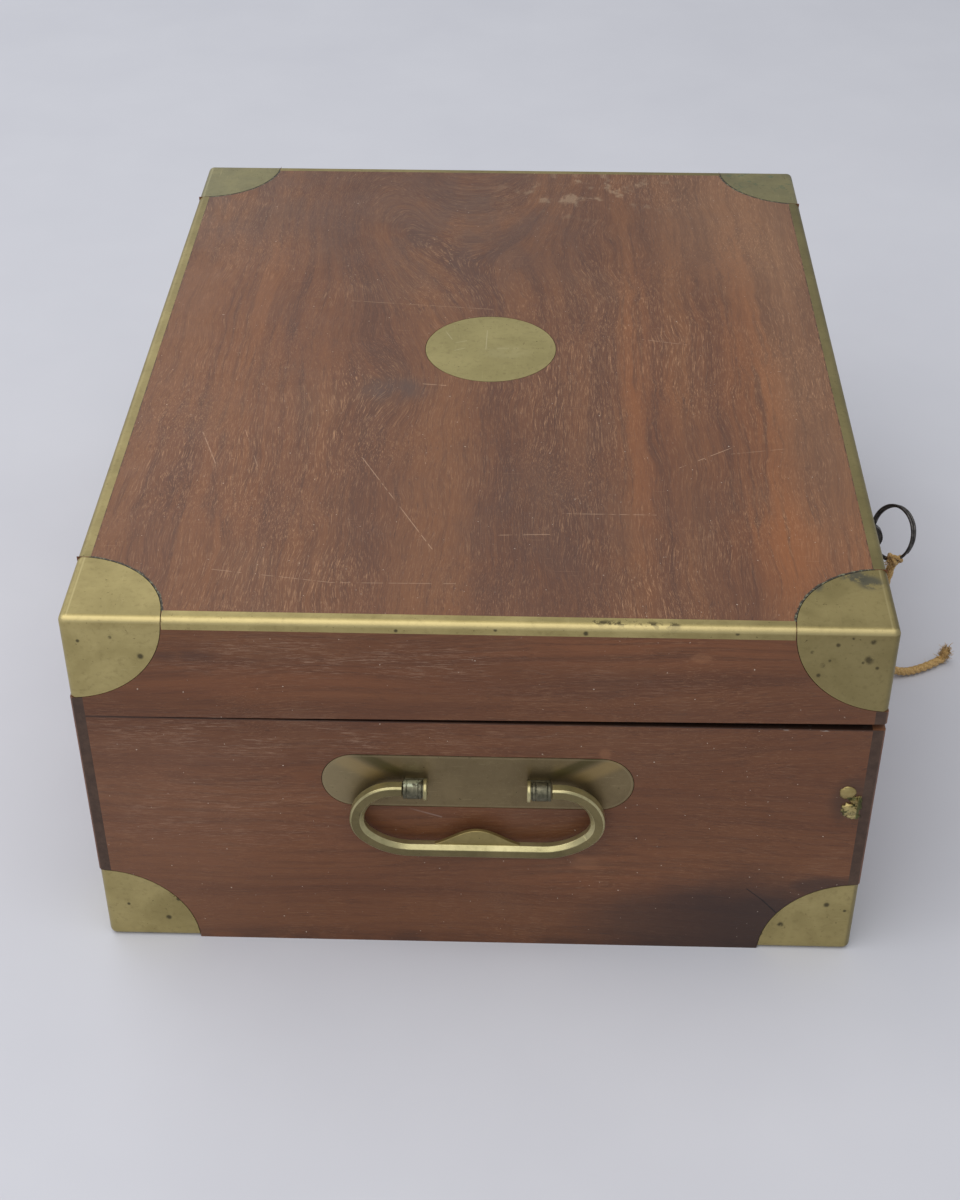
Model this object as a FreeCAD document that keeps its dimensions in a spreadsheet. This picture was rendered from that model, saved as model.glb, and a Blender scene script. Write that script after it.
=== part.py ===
import FreeCAD, Part
import math
import os
import Sketcher

# A brass-bound mahogany letter writing box with a side drawer.
# Frame: origin at the centre of the underside, +X to the front with the lock, -X to the hinged back,
# -Y to the left end, +Y to the right end with the drawer, +Z up. Millimetres.

DIMENSIONS = (
    # the box as a whole
    ("box_width", 280.0, "from the hinged back to the front"),
    ("box_length", 357.0, "from the left end to the right end"),
    ("box_height", 152.5, "from the underside to the top of the lid"),
    ("base_height", 109.5, "from the underside to the rim of the base"),
    ("seam_gap", 2.8, "how far the shrunken lid stands off the rim at the front"),
    ("wall", 9.0, "thickness of all the outer boards"),
    ("end_lap", 4.4, "thickness of the lap of the front and back over the ends"),
    ("arris", 0.8, "flat worn along an upright edge"),
    ("bottom_board", 7.0, "thickness of the bottom"),
    ("panel_board", 8.0, "thickness of the lid's panel"),
    ("lining_gauge", 1.0, "thickness of the lining under the panel"),
    ("joinery_gap", 0.3, "play between a loose board and what it lies in"),
    # inlaid brass
    ("corner_reach", 34.5, "radius of a corner brass on each of its three faces"),
    ("corner_gauge", 1.2, "thickness of a corner brass"),
    ("corner_round", 2.6, "radius of the outer edges of a corner brass"),
    ("inlay_gap", 0.25, "gap round the curved edge of an inlaid brass"),
    ("edging_top", 4.9, "width of the edging on the lid's top"),
    ("edging_side", 4.3, "width of the edging on the lid's side"),
    ("edging_gauge", 1.4, "thickness of the edging"),
    ("edging_round", 2.6, "radius of the outer edge of the edging"),
    ("cartouche_radius", 26.5, "radius of the disc in the lid"),
    ("cartouche_shift", 5.0, "how far the disc lies to the right of the lid's centre"),
    ("cartouche_gauge", 1.2, "thickness of the disc"),
    # carrying handles
    ("plate_length", 110.0, "length of a handle plate"),
    ("plate_height", 24.0, "height of a handle plate"),
    ("plate_gauge", 1.5, "thickness of a handle plate"),
    ("handle_drop", 27.5, "from the rim of the base down to the bail's pivot"),
    ("pivot_stand", 4.2, "how far the pivot stands out of the plate"),
    ("barrel_inner", 17.5, "from the middle to the inner end of a barrel"),
    ("barrel_length", 8.5, "length of a barrel"),
    ("barrel_radius", 3.5, "outer radius of a barrel"),
    ("barrel_collar", 0.5, "how far the collar stands proud of the barrel"),
    ("collar_width", 1.4, "width of the collar"),
    ("pivot_radius", 2.0, "radius of the bail's pivot"),
    ("pivot_reach", 6.9, "length of the pivot inside its barrel"),
    ("running_gap", 0.06, "radial play of a pin in its hole"),
    ("bail_span", 85.6, "width of the bail between its centrelines"),
    ("bail_drop", 28.3, "from the pivot down to the centreline of the bail's bar"),
    ("bail_sweep", 19.4, "how far each lower bend runs in from the bail's side"),
    ("bail_bar", 5.2, "thickness of the bail's bar across its flats"),
    ("bail_shoulder", 0.4, "play between the bail's shoulder and the barrel"),
    ("web_width", 34.0, "width of the bell-shaped web in the bail"),
    ("web_rise", 9.2, "height of the web above the centreline of the bar"),
    ("web_gauge", 2.0, "thickness of the web"),
    ("web_curve", 12.6, "radius of the web's crown and of the hollow at each side of it"),
    # drawer
    ("opening_width", 200.0, "width of the drawer opening"),
    ("opening_height", 40.0, "height of the drawer opening"),
    ("drawer_gap", 0.5, "play round the drawer's front"),
    ("drawer_depth", 300.0, "length of the drawer"),
    ("drawer_front_board", 16.0, "thickness of the drawer's front"),
    ("drawer_board", 6.0, "thickness of the drawer's sides and back"),
    ("drawer_floor", 4.0, "thickness of the drawer's bottom"),
    ("drawer_side_drop", 3.0, "how far the drawer's sides stay below its front"),
    ("guide_board", 6.0, "thickness of the drawer's guides and stop"),
    ("knob_radius", 8.0, "radius of the drawer's knob"),
    ("knob_stand", 14.0, "how far the knob stands out"),
    ("knob_neck", 3.6, "radius of the knob's neck"),
    ("knob_rose", 9.5, "radius of the knob's rose"),
    ("knob_rose_gauge", 1.6, "thickness of the knob's rose"),
    ("knob_head", 7.0, "length of the knob's head"),
    ("knob_crown", 6.4, "radius of the flat of the knob's head"),
    ("knob_spigot", 2.5, "radius of the knob's spigot"),
    ("knob_spigot_length", 9.0, "length of the knob's spigot"),
    ("pin_radius", 2.0, "radius of the drawer's locking pin"),
    ("pin_throw", 9.0, "travel of the locking pin"),
    ("pin_setback", 3.5, "from the inside of the right end to the pin's axis"),
    ("pin_side", 60.0, "from the middle of the box to the pin's axis"),
    ("pin_head", 3.2, "radius of the locking pin's head"),
    ("pin_head_height", 4.0, "height of the locking pin's head"),
    ("pin_tip", 1.0, "how far the raised pin's tip stays above the dust board's underside"),
    # inside the base
    ("dust_board", 5.0, "thickness of the board over the drawer"),
    ("partition", 5.0, "thickness of the partitions"),
    ("partition_drop", 8.0, "how far the partitions stay below the rim"),
    ("pen_width", 54.0, "inner width of the pen and ink section"),
    ("ink_well", 52.0, "inner length of an ink well"),
    ("tray_height", 16.0, "height of the pen tray"),
    ("tray_wall", 5.0, "wall left round the hollow of the pen tray"),
    ("tray_floor", 4.0, "floor left under the hollow of the pen tray"),
    ("tray_scoop", 26.0, "radius of the round hollow of the pen tray"),
    ("tray_rest", 5.0, "thickness of the strips under the pen tray"),
    ("bottle_side", 44.0, "side of an ink bottle"),
    ("bottle_height", 34.0, "height of the body of an ink bottle"),
    ("bottle_glass", 4.0, "thickness of the glass"),
    ("neck_radius", 14.0, "outer radius of the bottle's neck"),
    ("neck_height", 5.0, "height of the bottle's neck"),
    ("cap_radius", 16.5, "radius of the bottle's cap"),
    ("cap_height", 6.5, "height of the cap over the neck"),
    ("ledge", 6.0, "section of the ledges under the writing slope"),
    ("slope_board", 6.0, "thickness of the writing slope"),
    ("slope_drop", 6.5, "from the rim down to the top of the writing slope"),
    ("slope_gap", 1.5, "play at the front of the writing slope"),
    ("slope_dip", 0.8, "gap between the divider and the slope"),
    ("slope_pin_back", 2.5, "from the slope's front edge back to its pins"),
    ("slope_pin_radius", 1.5, "radius of the slope's pins"),
    ("slope_pin_depth", 4.0, "depth of the pins in the ends"),
    ("slope_pin_length", 16.0, "length of a slope pin"),
    ("leather_gauge", 0.8, "thickness of the leather on the slope"),
    ("leather_margin", 16.0, "wood left round the leather"),
    ("finger_notch", 11.0, "radius of the finger notch in the slope"),
    # hinges
    ("hinge_length", 50.0, "length of a hinge"),
    ("hinge_spread", 220.0, "distance between the middles of the hinges"),
    ("hinge_leaf", 8.0, "width of a leaf on the wood"),
    ("hinge_gauge", 1.4, "thickness of a leaf"),
    ("knuckle_radius", 2.2, "outer radius of a knuckle"),
    ("knuckle_stand", 0.3, "gap between the knuckle and the back"),
    ("knuckle_gap", 0.3, "gap between two knuckles"),
    ("hinge_pin_radius", 0.9, "radius of a hinge pin"),
    ("screw_radius", 1.2, "radius of a hinge screw"),
    ("screw_head", 2.4, "radius of a hinge screw's head"),
    ("screw_length", 7.0, "length of a hinge screw"),
    ("screw_spread", 19.0, "distance between two hinge screws"),
    # lock and key
    ("lock_drop", 44.5, "from the rim of the base down to the key's axis"),
    ("lock_width", 66.0, "length of the lock case"),
    ("lock_depth", 6.0, "thickness of the lock case"),
    ("lock_below", 14.0, "height of the lock case below the key's axis"),
    ("lock_sheet", 1.0, "thickness of the lock case's walls"),
    ("selvedge_gauge", 1.2, "thickness of the lock's top plate"),
    ("selvedge_margin", 5.0, "how far the top plate passes the lock case"),
    ("link_plate_gauge", 1.5, "thickness of the link plate in the lid"),
    ("link_spread", 32.0, "distance between the two links"),
    ("link_leg", 2.4, "width of a link's leg"),
    ("link_foot", 5.0, "length of a link's foot"),
    ("link_drop", 12.0, "length of a link below the link plate"),
    ("link_gauge", 2.2, "thickness of a link"),
    ("bolt_bar", 3.0, "height of the bolt's bar"),
    ("bolt_throw", 4.0, "travel of the bolt"),
    ("bolt_gap", 0.5, "play round the bolt"),
    ("escutcheon_radius", 11.0, "radius of the brass round the keyhole"),
    ("escutcheon_gauge", 1.2, "thickness of the brass round the keyhole"),
    ("key_radius", 2.0, "radius of the key's shank"),
    ("key_collar", 3.2, "radius of the collar on the key's shank"),
    ("key_reach", 29.4, "from the front to the tip of the key's bow"),
    ("bow_radius", 7.0, "outer radius of the key's bow"),
    ("bow_hole", 5.0, "radius of the hole in the bow"),
    ("bow_gauge", 2.4, "thickness of the bow"),
    ("bit_length", 2.6, "length of the key's bit along the shank"),
    ("bit_drop", 5.5, "how far the bit stands out of the shank"),
    ("bit_gauge", 1.6, "thickness of the bit"),
    ("keyhole_gap", 0.4, "play round the key in the keyhole"),
    # wire ring and twine
    ("ring_radius", 11.5, "radius of the wire ring's centreline"),
    ("ring_wire", 0.65, "radius of the ring's wire"),
    ("ring_pass", 2.1, "from the rim of the bow's hole to the wire's middle"),
    ("ring_turn", 59.0, "angle of the ring's plane from the front, in degrees"),
    ("ring_tilt", 20.3, "how far the ring leans out from upright, in degrees"),
    ("ring_start", 220.0, "where the ring passes through the bow, in degrees round the ring"),
    ("knot_angle", 304.0, "where the twine is knotted, in degrees round the ring"),
    ("knot_radius", 3.4, "radius of the knot"),
    ("twine_radius", 1.7, "radius of the twine"),
)


class Size:
    """A length worked out from the sheet: its number now, and the expression that keeps it tied."""

    def __init__(self, number, text):
        self.number = number
        self.text = text

    @staticmethod
    def of(value):
        if isinstance(value, Size):
            return value
        return Size(float(value), repr(float(value)))

    def __add__(self, other):
        other = Size.of(other)
        return Size(self.number + other.number, "(" + self.text + " + " + other.text + ")")

    def __sub__(self, other):
        other = Size.of(other)
        return Size(self.number - other.number, "(" + self.text + " - " + other.text + ")")

    def __mul__(self, factor):
        return Size(self.number * factor, "(" + self.text + " * " + repr(float(factor)) + ")")

    def __truediv__(self, divisor):
        return Size(self.number / divisor, "(" + self.text + " / " + repr(float(divisor)) + ")")

    def __neg__(self):
        return self * -1

    def __radd__(self, other):
        return Size.of(other) + self

    def __rsub__(self, other):
        return Size.of(other) - self

    def __rmul__(self, factor):
        return self * factor


class Dimensions:
    """The sheet's driving dimensions, each under its own name."""


doc = FreeCAD.newDocument("letter_writing_box")
sheet = doc.addObject("Spreadsheet::Sheet", "Dims")
for row, (alias, value, meaning) in enumerate(DIMENSIONS, start=1):
    sheet.set("A" + str(row), alias)
    sheet.set("B" + str(row), repr(value))
    sheet.set("C" + str(row), meaning)
    sheet.setAlias("B" + str(row), alias)
doc.recompute()

d = Dimensions()
for alias, _, _ in DIMENSIONS:
    setattr(d, alias, Size(float(sheet.get(alias)), "Dims." + alias))

X_AXIS = FreeCAD.Vector(1, 0, 0)
Y_AXIS = FreeCAD.Vector(0, 1, 0)
Z_AXIS = FreeCAD.Vector(0, 0, 1)
LIE_ALONG = {
    "x": FreeCAD.Rotation(Y_AXIS, 90),
    "-x": FreeCAD.Rotation(Y_AXIS, -90),
    "y": FreeCAD.Rotation(X_AXIS, -90),
    "-y": FreeCAD.Rotation(X_AXIS, 90),
    "z": FreeCAD.Rotation(),
}
UPRIGHT = FreeCAD.Rotation()
HALF_TURN = FreeCAD.Rotation(Z_AXIS, 180)
ORIGIN = (Size.of(0), Size.of(0), Size.of(0))
PLANES = {"XY": "XY_Plane", "XZ": "XZ_Plane", "YZ": "YZ_Plane"}
FULL_CIRCLE = 360.0
QUARTER_TURN = 90.0
EIGHTH_TURN = 45.0
QUARTER_CIRCLE = 90.0
EDGE_MATCH = 0.01
nodes = {}


# ---------------------------------------------------------------- building blocks
def bind(feature, **sizes):
    """Ties each named property of a feature to the sheet."""
    for name, size in sizes.items():
        feature.setExpression(name, Size.of(size).text)
    return feature


def place(feature, at, turn=UPRIGHT):
    """Puts a feature at a place that is tied to the sheet, turned as given."""
    feature.Placement = FreeCAD.Placement(FreeCAD.Vector(*(Size.of(v).number for v in at)), turn)
    for axis, value in zip("xyz", at):
        feature.setExpression("Placement.Base." + axis, Size.of(value).text)
    return feature


def box(name, sides, corner, turn=UPRIGHT):
    """A block with its lowest corner at corner."""
    feature = doc.addObject("Part::Box", name)
    bind(feature, Length=sides[0], Width=sides[1], Height=sides[2])
    return place(feature, corner, turn)


def rod(name, radius, length, start, along="z"):
    """A round rod from start, along an axis."""
    feature = doc.addObject("Part::Cylinder", name)
    bind(feature, Radius=radius, Height=length)
    return place(feature, start, LIE_ALONG[along])


def fuse(name, *shapes):
    feature = doc.addObject("Part::MultiFuse", name)
    feature.Shapes = list(shapes)
    feature.Refine = True
    return feature


def cut(name, base, *tools):
    """The base with one tool after another cut from it."""
    for index, tool in enumerate(tools):
        feature = doc.addObject("Part::Cut", name + "_" + str(index))
        feature.Base = base
        feature.Tool = tool
        base = feature
    return base


def group(name, *shapes):
    """Separate solids that share one node."""
    feature = doc.addObject("Part::Compound", name)
    feature.Links = list(shapes)
    return feature


def node(name, feature):
    """Names a finished sub-part, which is written to a file of that name."""
    feature.Label = name
    nodes[name] = feature
    return feature


def outline(body, name, plane, points):
    """A closed polygon on one of the body's own planes, each corner tied to the sheet."""
    sketch = body.newObject("Sketcher::SketchObject", name)
    origin_plane = [f for f in body.Origin.OriginFeatures if f.Role == PLANES[plane]][0]
    sketch.AttachmentSupport = [(origin_plane, "")]
    sketch.MapMode = "FlatFace"
    corners = [(Size.of(u), Size.of(v)) for u, v in points]
    flat = [FreeCAD.Vector(u.number, v.number, 0) for u, v in corners]
    count = len(flat)
    for i in range(count):
        sketch.addGeometry(Part.LineSegment(flat[i], flat[(i + 1) % count]), False)
    for i in range(count):
        sketch.addConstraint(Sketcher.Constraint("Coincident", i, 2, (i + 1) % count, 1))
    for i, (u, v) in enumerate(corners):
        for kind, size in (("DistanceX", u), ("DistanceY", v)):
            index = sketch.addConstraint(Sketcher.Constraint(kind, -1, 1, i, 1, size.number))
            sketch.setExpression("Constraints[" + str(index) + "]", size.text)
    return sketch


def padded(name, plane, points, length, at=ORIGIN, turn=UPRIGHT, middle=False):
    """A polygon padded to a length, up its plane's normal or to both sides of the plane."""
    body = doc.addObject("PartDesign::Body", name)
    sketch = outline(body, name + "_outline", plane, points)
    pad = body.newObject("PartDesign::Pad", name + "_pad")
    pad.Profile = sketch
    pad.Midplane = middle
    bind(pad, Length=length)
    return place(body, at, turn)


def turned(name, points, at=ORIGIN, turn=UPRIGHT, plane="XZ", angle=FULL_CIRCLE):
    """A profile, as radius and height on its plane, spun about that plane's own vertical."""
    body = doc.addObject("PartDesign::Body", name)
    sketch = outline(body, name + "_outline", plane, points)
    spin = body.newObject("PartDesign::Revolution", name + "_spin")
    spin.Profile = sketch
    spin.ReferenceAxis = (sketch, ["V_Axis"])
    spin.Angle = angle
    return place(body, at, turn)


def rounded(body, radius, *middles):
    """Rounds the edges of a body whose middles lie at the given places in its own frame."""
    doc.recompute()
    base = body.Tip
    wanted = [FreeCAD.Vector(*(Size.of(v).number for v in middle)) for middle in middles]
    names = []
    for index, edge in enumerate(base.Shape.Edges, start=1):
        middle = edge.valueAt((edge.FirstParameter + edge.LastParameter) / 2)
        if any(middle.distanceToPoint(point) < EDGE_MATCH for point in wanted):
            names.append("Edge" + str(index))
    fillet = body.newObject("PartDesign::Fillet", body.Name + "_round")
    fillet.Base = (base, names)
    bind(fillet, Radius=radius)
    body.Tip = fillet
    return body


# ---------------------------------------------------------------- shared places
front_x = d.box_width / 2
end_y = d.box_length / 2
inner_x = front_x - d.wall
inner_y = end_y - d.wall
lap_x = front_x - d.end_lap
lid_height = d.box_height - d.base_height
lid_inner = d.box_height - d.panel_board - d.lining_gauge
dust_top = d.bottom_board + d.opening_height + d.joinery_gap * 4 + d.dust_board
dust_bottom = dust_top - d.dust_board
partition_top = d.base_height - d.partition_drop
pen_x = -inner_x + d.pen_width
well_x = pen_x + d.partition
well_y = inner_y - d.ink_well
slope_top = d.base_height - d.slope_drop
slope_bottom = slope_top - d.slope_board
handle_level = d.base_height - d.handle_drop
lock_level = d.base_height - d.lock_drop


# ---------------------------------------------------------------- inlaid brass
CORNERS = {
    "back_left": (-1, -1),
    "back_right": (-1, 1),
    "front_left": (1, -1),
    "front_right": (1, 1),
}
# the three plates of a corner brass lie across its own Z, X and Y
PLATE_TURNS = (
    FreeCAD.Rotation(),
    FreeCAD.Rotation(FreeCAD.Vector(1, 1, 1), 120),
    FreeCAD.Rotation(FreeCAD.Vector(1, 1, 1), 240),
)


def corner_turn(side, end, level):
    """The turn that points a corner's own axes into the box from the corner (side, end, level)."""
    inward = (-side, -end, -level)
    if inward[0] * inward[1] * inward[2] > 0:
        own_x = FreeCAD.Vector(inward[0], 0, 0)
        own_y = FreeCAD.Vector(0, inward[1], 0)
    else:
        own_x = FreeCAD.Vector(0, inward[1], 0)
        own_y = FreeCAD.Vector(inward[0], 0, 0)
    return FreeCAD.Rotation(own_x, own_y, FreeCAD.Vector(0, 0, inward[2]), "XYZ")


def corner_place(side, end, level):
    """The corner of the box on that side, end and level."""
    return (front_x * side, end_y * end, d.box_height if level > 0 else Size.of(0))


def corner_plates(name, side, end, level, reach):
    """Three quarter discs that meet at a corner of the box."""
    plates = []
    for index, own_turn in enumerate(PLATE_TURNS):
        plate = doc.addObject("Part::Cylinder", name + "_plate_" + str(index))
        bind(plate, Radius=reach, Height=d.corner_gauge)
        plate.Angle = QUARTER_CIRCLE
        turn = corner_turn(side, end, level).multiply(own_turn)
        plates.append(place(plate, corner_place(side, end, level), turn))
    return fuse(name, *plates)


def corner_brass(name, side, end, level):
    """A corner brass: three quarter discs of one thickness, rounded outside, cut off at the seam."""
    plates = corner_plates(name + "_plates", side, end, level, d.corner_reach)
    width = d.corner_reach + d.wall
    height = lid_height if level > 0 else d.base_height
    square = ((0, 0), (width, 0), (width, width), (0, width))
    block = padded(name + "_block", "XY", square, height)
    rounded(block, d.corner_round, (width / 2, 0, 0), (0, width / 2, 0), (0, 0, height / 2))
    place(block, corner_place(side, end, level), corner_turn(side, end, level))
    brass = doc.addObject("Part::MultiCommon", name + "_brass")
    brass.Shapes = [plates, block]
    return brass


def stadium(name, grow=0):
    """A handle plate, or the sinking for it: round ended, its outer face through the origin."""
    radius = d.plate_height / 2 + grow
    half = (d.plate_length - d.plate_height) / 2
    middle = box(name + "_middle", (half * 2, d.plate_gauge, radius * 2), (-half, 0, -radius))
    near = rod(name + "_near", radius, d.plate_gauge, (-half, 0, 0), "y")
    far = rod(name + "_far", radius, d.plate_gauge, (half, 0, 0), "y")
    return fuse(name, middle, near, far)


EIGHT_SIDED = 22.5
HANDLES = {
    "left": ((0, -end_y, handle_level), UPRIGHT),
    "right": ((0, end_y, handle_level), HALF_TURN),
}


def handle_barrels(side, at, turn):
    """Two barrels on necks that stand on the plate, bored from outside for the bail's pivots."""
    name = side + "_handle_barrels"
    barrels = []
    for index, sign in enumerate((-1, 1)):
        piece = name + "_" + str(index)
        along = "x" if sign > 0 else "-x"
        start = (d.barrel_inner * sign, -d.pivot_stand, 0)
        body = rod(piece + "_body", d.barrel_radius, d.barrel_length, start, along)
        collar = rod(piece + "_collar", d.barrel_radius + d.barrel_collar, d.collar_width, start, along)
        low_x = d.barrel_inner if sign > 0 else -d.barrel_inner - d.barrel_length
        neck_size = (d.barrel_length, d.pivot_stand, d.barrel_radius)
        neck = box(piece + "_neck", neck_size, (low_x, -d.pivot_stand, d.barrel_radius / -2))
        blind = d.barrel_length - d.pivot_reach - d.joinery_gap
        mouth = ((d.barrel_inner + blind) * sign, -d.pivot_stand, 0)
        bore = rod(piece + "_bore", d.pivot_radius + d.running_gap, d.barrel_length, mouth, along)
        solid = fuse(piece + "_solid", body, collar, neck)
        barrels.append(cut(piece, solid, bore))
    return node(name, place(group(name + "_pair", *barrels), at, turn))


def web(name, flat):
    """The flat web on the bail's bar: a round crown that runs out in a hollow at each side."""
    y = d.web_gauge / -2 - d.pivot_stand
    middle = (flat + d.web_rise) / 2
    blank = box(name + "_blank", (d.web_width, d.web_gauge, middle), (d.web_width / -2, y, -d.bail_drop))
    hollows = []
    for index, sign in enumerate((-1, 1)):
        centre = (d.web_width / 2 * sign, y, flat + d.web_curve - d.bail_drop)
        hollows.append(rod(name + "_hollow_" + str(index), d.web_curve, d.web_gauge, centre, "y"))
    centre = (0, y, d.web_rise - d.web_curve - d.bail_drop)
    disc = rod(name + "_disc", d.web_curve, d.web_gauge, centre, "y")
    width = d.web_curve * 2
    below = box(name + "_below", (width, d.web_gauge, width), (width / -2, y, middle - width - d.bail_drop))
    return [cut(name + "_foot", blank, *hollows), cut(name + "_crown", disc, below)]


def bail(side, at, turn):
    """The drop handle: an eight-sided bar bent to a long loop, with a web and two pivots."""
    name = side + "_bail"
    drop = d.bail_drop
    upper = drop / 2
    half_span = d.bail_span / 2
    shoulder = d.barrel_inner + d.barrel_length + d.bail_shoulder
    flat = d.bail_bar / 2
    edge = flat * math.tan(math.radians(EIGHT_SIDED))
    section = (
        (flat, edge), (edge, flat), (-edge, flat), (-flat, edge),
        (-flat, -edge), (-edge, -flat), (edge, -flat), (flat, -edge),
    )
    # each lower bend is a tight arc and then a wide one, each through an eighth of a turn
    lean = math.cos(math.radians(EIGHTH_TURN))
    wide = (d.bail_sweep * lean - upper * (1 - lean)) / (lean * 2 - 1)
    tight = (upper * lean - d.bail_sweep * (1 - lean)) / (lean * 2 - 1)
    step = (wide - tight) * lean
    bends = (
        (upper, half_span - upper, -upper, 0, EIGHTH_TURN * 2),
        (tight, half_span - tight, -upper, EIGHTH_TURN * 2, EIGHTH_TURN),
        (wide, half_span - tight - step, step - upper, EIGHTH_TURN * 3, EIGHTH_TURN),
    )
    bar_length = d.bail_span - d.bail_sweep * 2
    parts = [padded(name + "_bar", "YZ", section, bar_length, (0, -d.pivot_stand, -drop), middle=True)]
    for index, sign in enumerate((-1, 1)):
        piece = name + "_" + str(index)
        facing = UPRIGHT if sign > 0 else HALF_TURN
        for number, (radius, x, z, start, angle) in enumerate(bends):
            moved = [(u + radius, v) for u, v in section]
            bend_turn = facing.multiply(FreeCAD.Rotation(Y_AXIS, start - QUARTER_TURN))
            bend_at = (x * sign, -d.pivot_stand, z)
            bend_name = piece + "_bend_" + str(number)
            parts.append(turned(bend_name, moved, bend_at, bend_turn, "XY", angle))
        arm_length = half_span - upper - shoulder
        along = "x" if sign > 0 else "-x"
        arm = padded(piece + "_arm", "YZ", section, arm_length, (shoulder * sign, -d.pivot_stand, 0), facing)
        parts.append(arm)
        start = ((shoulder - d.pivot_reach - d.bail_shoulder) * sign, -d.pivot_stand, 0)
        pivot_length = d.pivot_reach + d.bail_shoulder + arm_length
        parts.append(rod(piece + "_pivot", d.pivot_radius, pivot_length, start, along))
    parts.extend(web(name + "_web", flat))
    return node(name, place(fuse(name + "_whole", *parts), at, turn))


def edging(name, side, end):
    """One length of brass angle along a top edge of the lid, its outer edge rounded."""
    along_y = side != 0
    span = d.box_length if along_y else d.box_width
    length = span - d.corner_reach * 2 - d.inlay_gap * 2
    gauge = d.edging_gauge
    section = (
        (0, 0), (d.edging_top, 0), (d.edging_top, -gauge),
        (gauge, -gauge), (gauge, -d.edging_side), (0, -d.edging_side),
    )
    angle = {(-1, 0): -90, (1, 0): 90, (0, -1): 0, (0, 1): 180}[(side, end)]
    at = (front_x * side, end_y * end, d.box_height)
    strip = padded(name, "YZ", section, length, middle=True)
    rounded(strip, d.edging_round, (0, 0, 0))
    return place(strip, at, FreeCAD.Rotation(Z_AXIS, angle))


def edging_sinking(name, side, end):
    """The wood cut away for one length of edging."""
    reach = d.corner_reach + d.inlay_gap
    along_x = (front_x - reach) * 2
    along_y = (end_y - reach) * 2
    gauge = d.edging_gauge
    if end:
        y_top = -end_y if end < 0 else end_y - d.edging_top
        y_side = -end_y if end < 0 else end_y - gauge
        top = ((along_x, d.edging_top, gauge), (along_x / -2, y_top, d.box_height - gauge))
        low = ((along_x, gauge, d.edging_side), (along_x / -2, y_side, d.box_height - d.edging_side))
    else:
        x_top = -front_x if side < 0 else front_x - d.edging_top
        x_side = -front_x if side < 0 else front_x - gauge
        top = ((d.edging_top, along_y, gauge), (x_top, along_y / -2, d.box_height - gauge))
        low = ((gauge, along_y, d.edging_side), (x_side, along_y / -2, d.box_height - d.edging_side))
    return [box(name + "_top", *top), box(name + "_side", *low)]


EDGINGS = {
    "lid_side_edging": ((-1, 0), (1, 0)),
    "lid_end_edging": ((0, -1), (0, 1)),
}

lid_inlay = []
base_inlay = []
base_corners = []
sinking_reach = d.corner_reach + d.inlay_gap
for place_name, (side, end) in CORNERS.items():
    lid_corner = "lid_corner_" + place_name
    base_corner = "base_corner_" + place_name
    node(lid_corner, corner_brass(lid_corner, side, end, 1))
    base_corners.append(corner_brass(base_corner, side, end, -1))
    lid_inlay.append(corner_plates(lid_corner + "_sinking", side, end, 1, sinking_reach))
    base_inlay.append(corner_plates(base_corner + "_sinking", side, end, -1, sinking_reach))
node("base_corner_brasses", group("base_corner_set", *base_corners))
for strip_name, sides in EDGINGS.items():
    strips = []
    for index, (side, end) in enumerate(sides):
        strips.append(edging(strip_name + "_" + str(index), side, end))
        lid_inlay.extend(edging_sinking(strip_name + "_sinking_" + str(index), side, end))
    node(strip_name, group(strip_name + "_pair", *strips))

cartouche_at = (0, d.cartouche_shift, d.box_height - d.cartouche_gauge)
node("lid_cartouche", rod("cartouche", d.cartouche_radius, d.cartouche_gauge, cartouche_at))
sinking_radius = d.cartouche_radius + d.inlay_gap
lid_inlay.append(rod("cartouche_sinking", sinking_radius, d.cartouche_gauge, cartouche_at))

for side_name, (at, turn) in HANDLES.items():
    plate = place(stadium(side_name + "_plate"), at, turn)
    node(side_name + "_handle_plate", plate)
    handle_barrels(side_name, at, turn)
    bail(side_name, at, turn)
    base_inlay.append(place(stadium(side_name + "_plate_sinking", d.inlay_gap), at, turn))

# ---------------------------------------------------------------- lock and key
lock_top = d.base_height - d.selvedge_gauge
lock_bottom = lock_level - d.lock_below
lock_height = lock_top - lock_bottom
lock_y = d.lock_width / -2


def keyhole(name, start, length):
    """The hole that the key passes: round, with a slot below for the bit."""
    hole = rod(name + "_round", d.key_radius + d.keyhole_gap, length, (start, 0, lock_level), "x")
    slot_width = d.bit_gauge + d.keyhole_gap * 2
    slot_drop = d.key_radius + d.bit_drop + d.keyhole_gap
    slot_corner = (start, slot_width / -2, lock_level - slot_drop)
    slot = box(name + "_slot", (length, slot_width, slot_drop), slot_corner)
    return fuse(name, hole, slot)


# the case is let into the inner side of the front; its open top is closed by the selvedge
case_outer = box("lock_outer", (d.lock_depth, d.lock_width, lock_height), (inner_x, lock_y, lock_bottom))
sheet_in = d.lock_sheet
case_inner = box(
    "lock_inner",
    (d.lock_depth - sheet_in * 2, d.lock_width - sheet_in * 2, lock_height),
    (inner_x + sheet_in, lock_y + sheet_in, lock_bottom + sheet_in),
)
case_keyhole = keyhole("lock_keyhole", inner_x + sheet_in, d.wall)
node("lock_case", cut("lock_box", case_outer, case_inner, case_keyhole))

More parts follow.
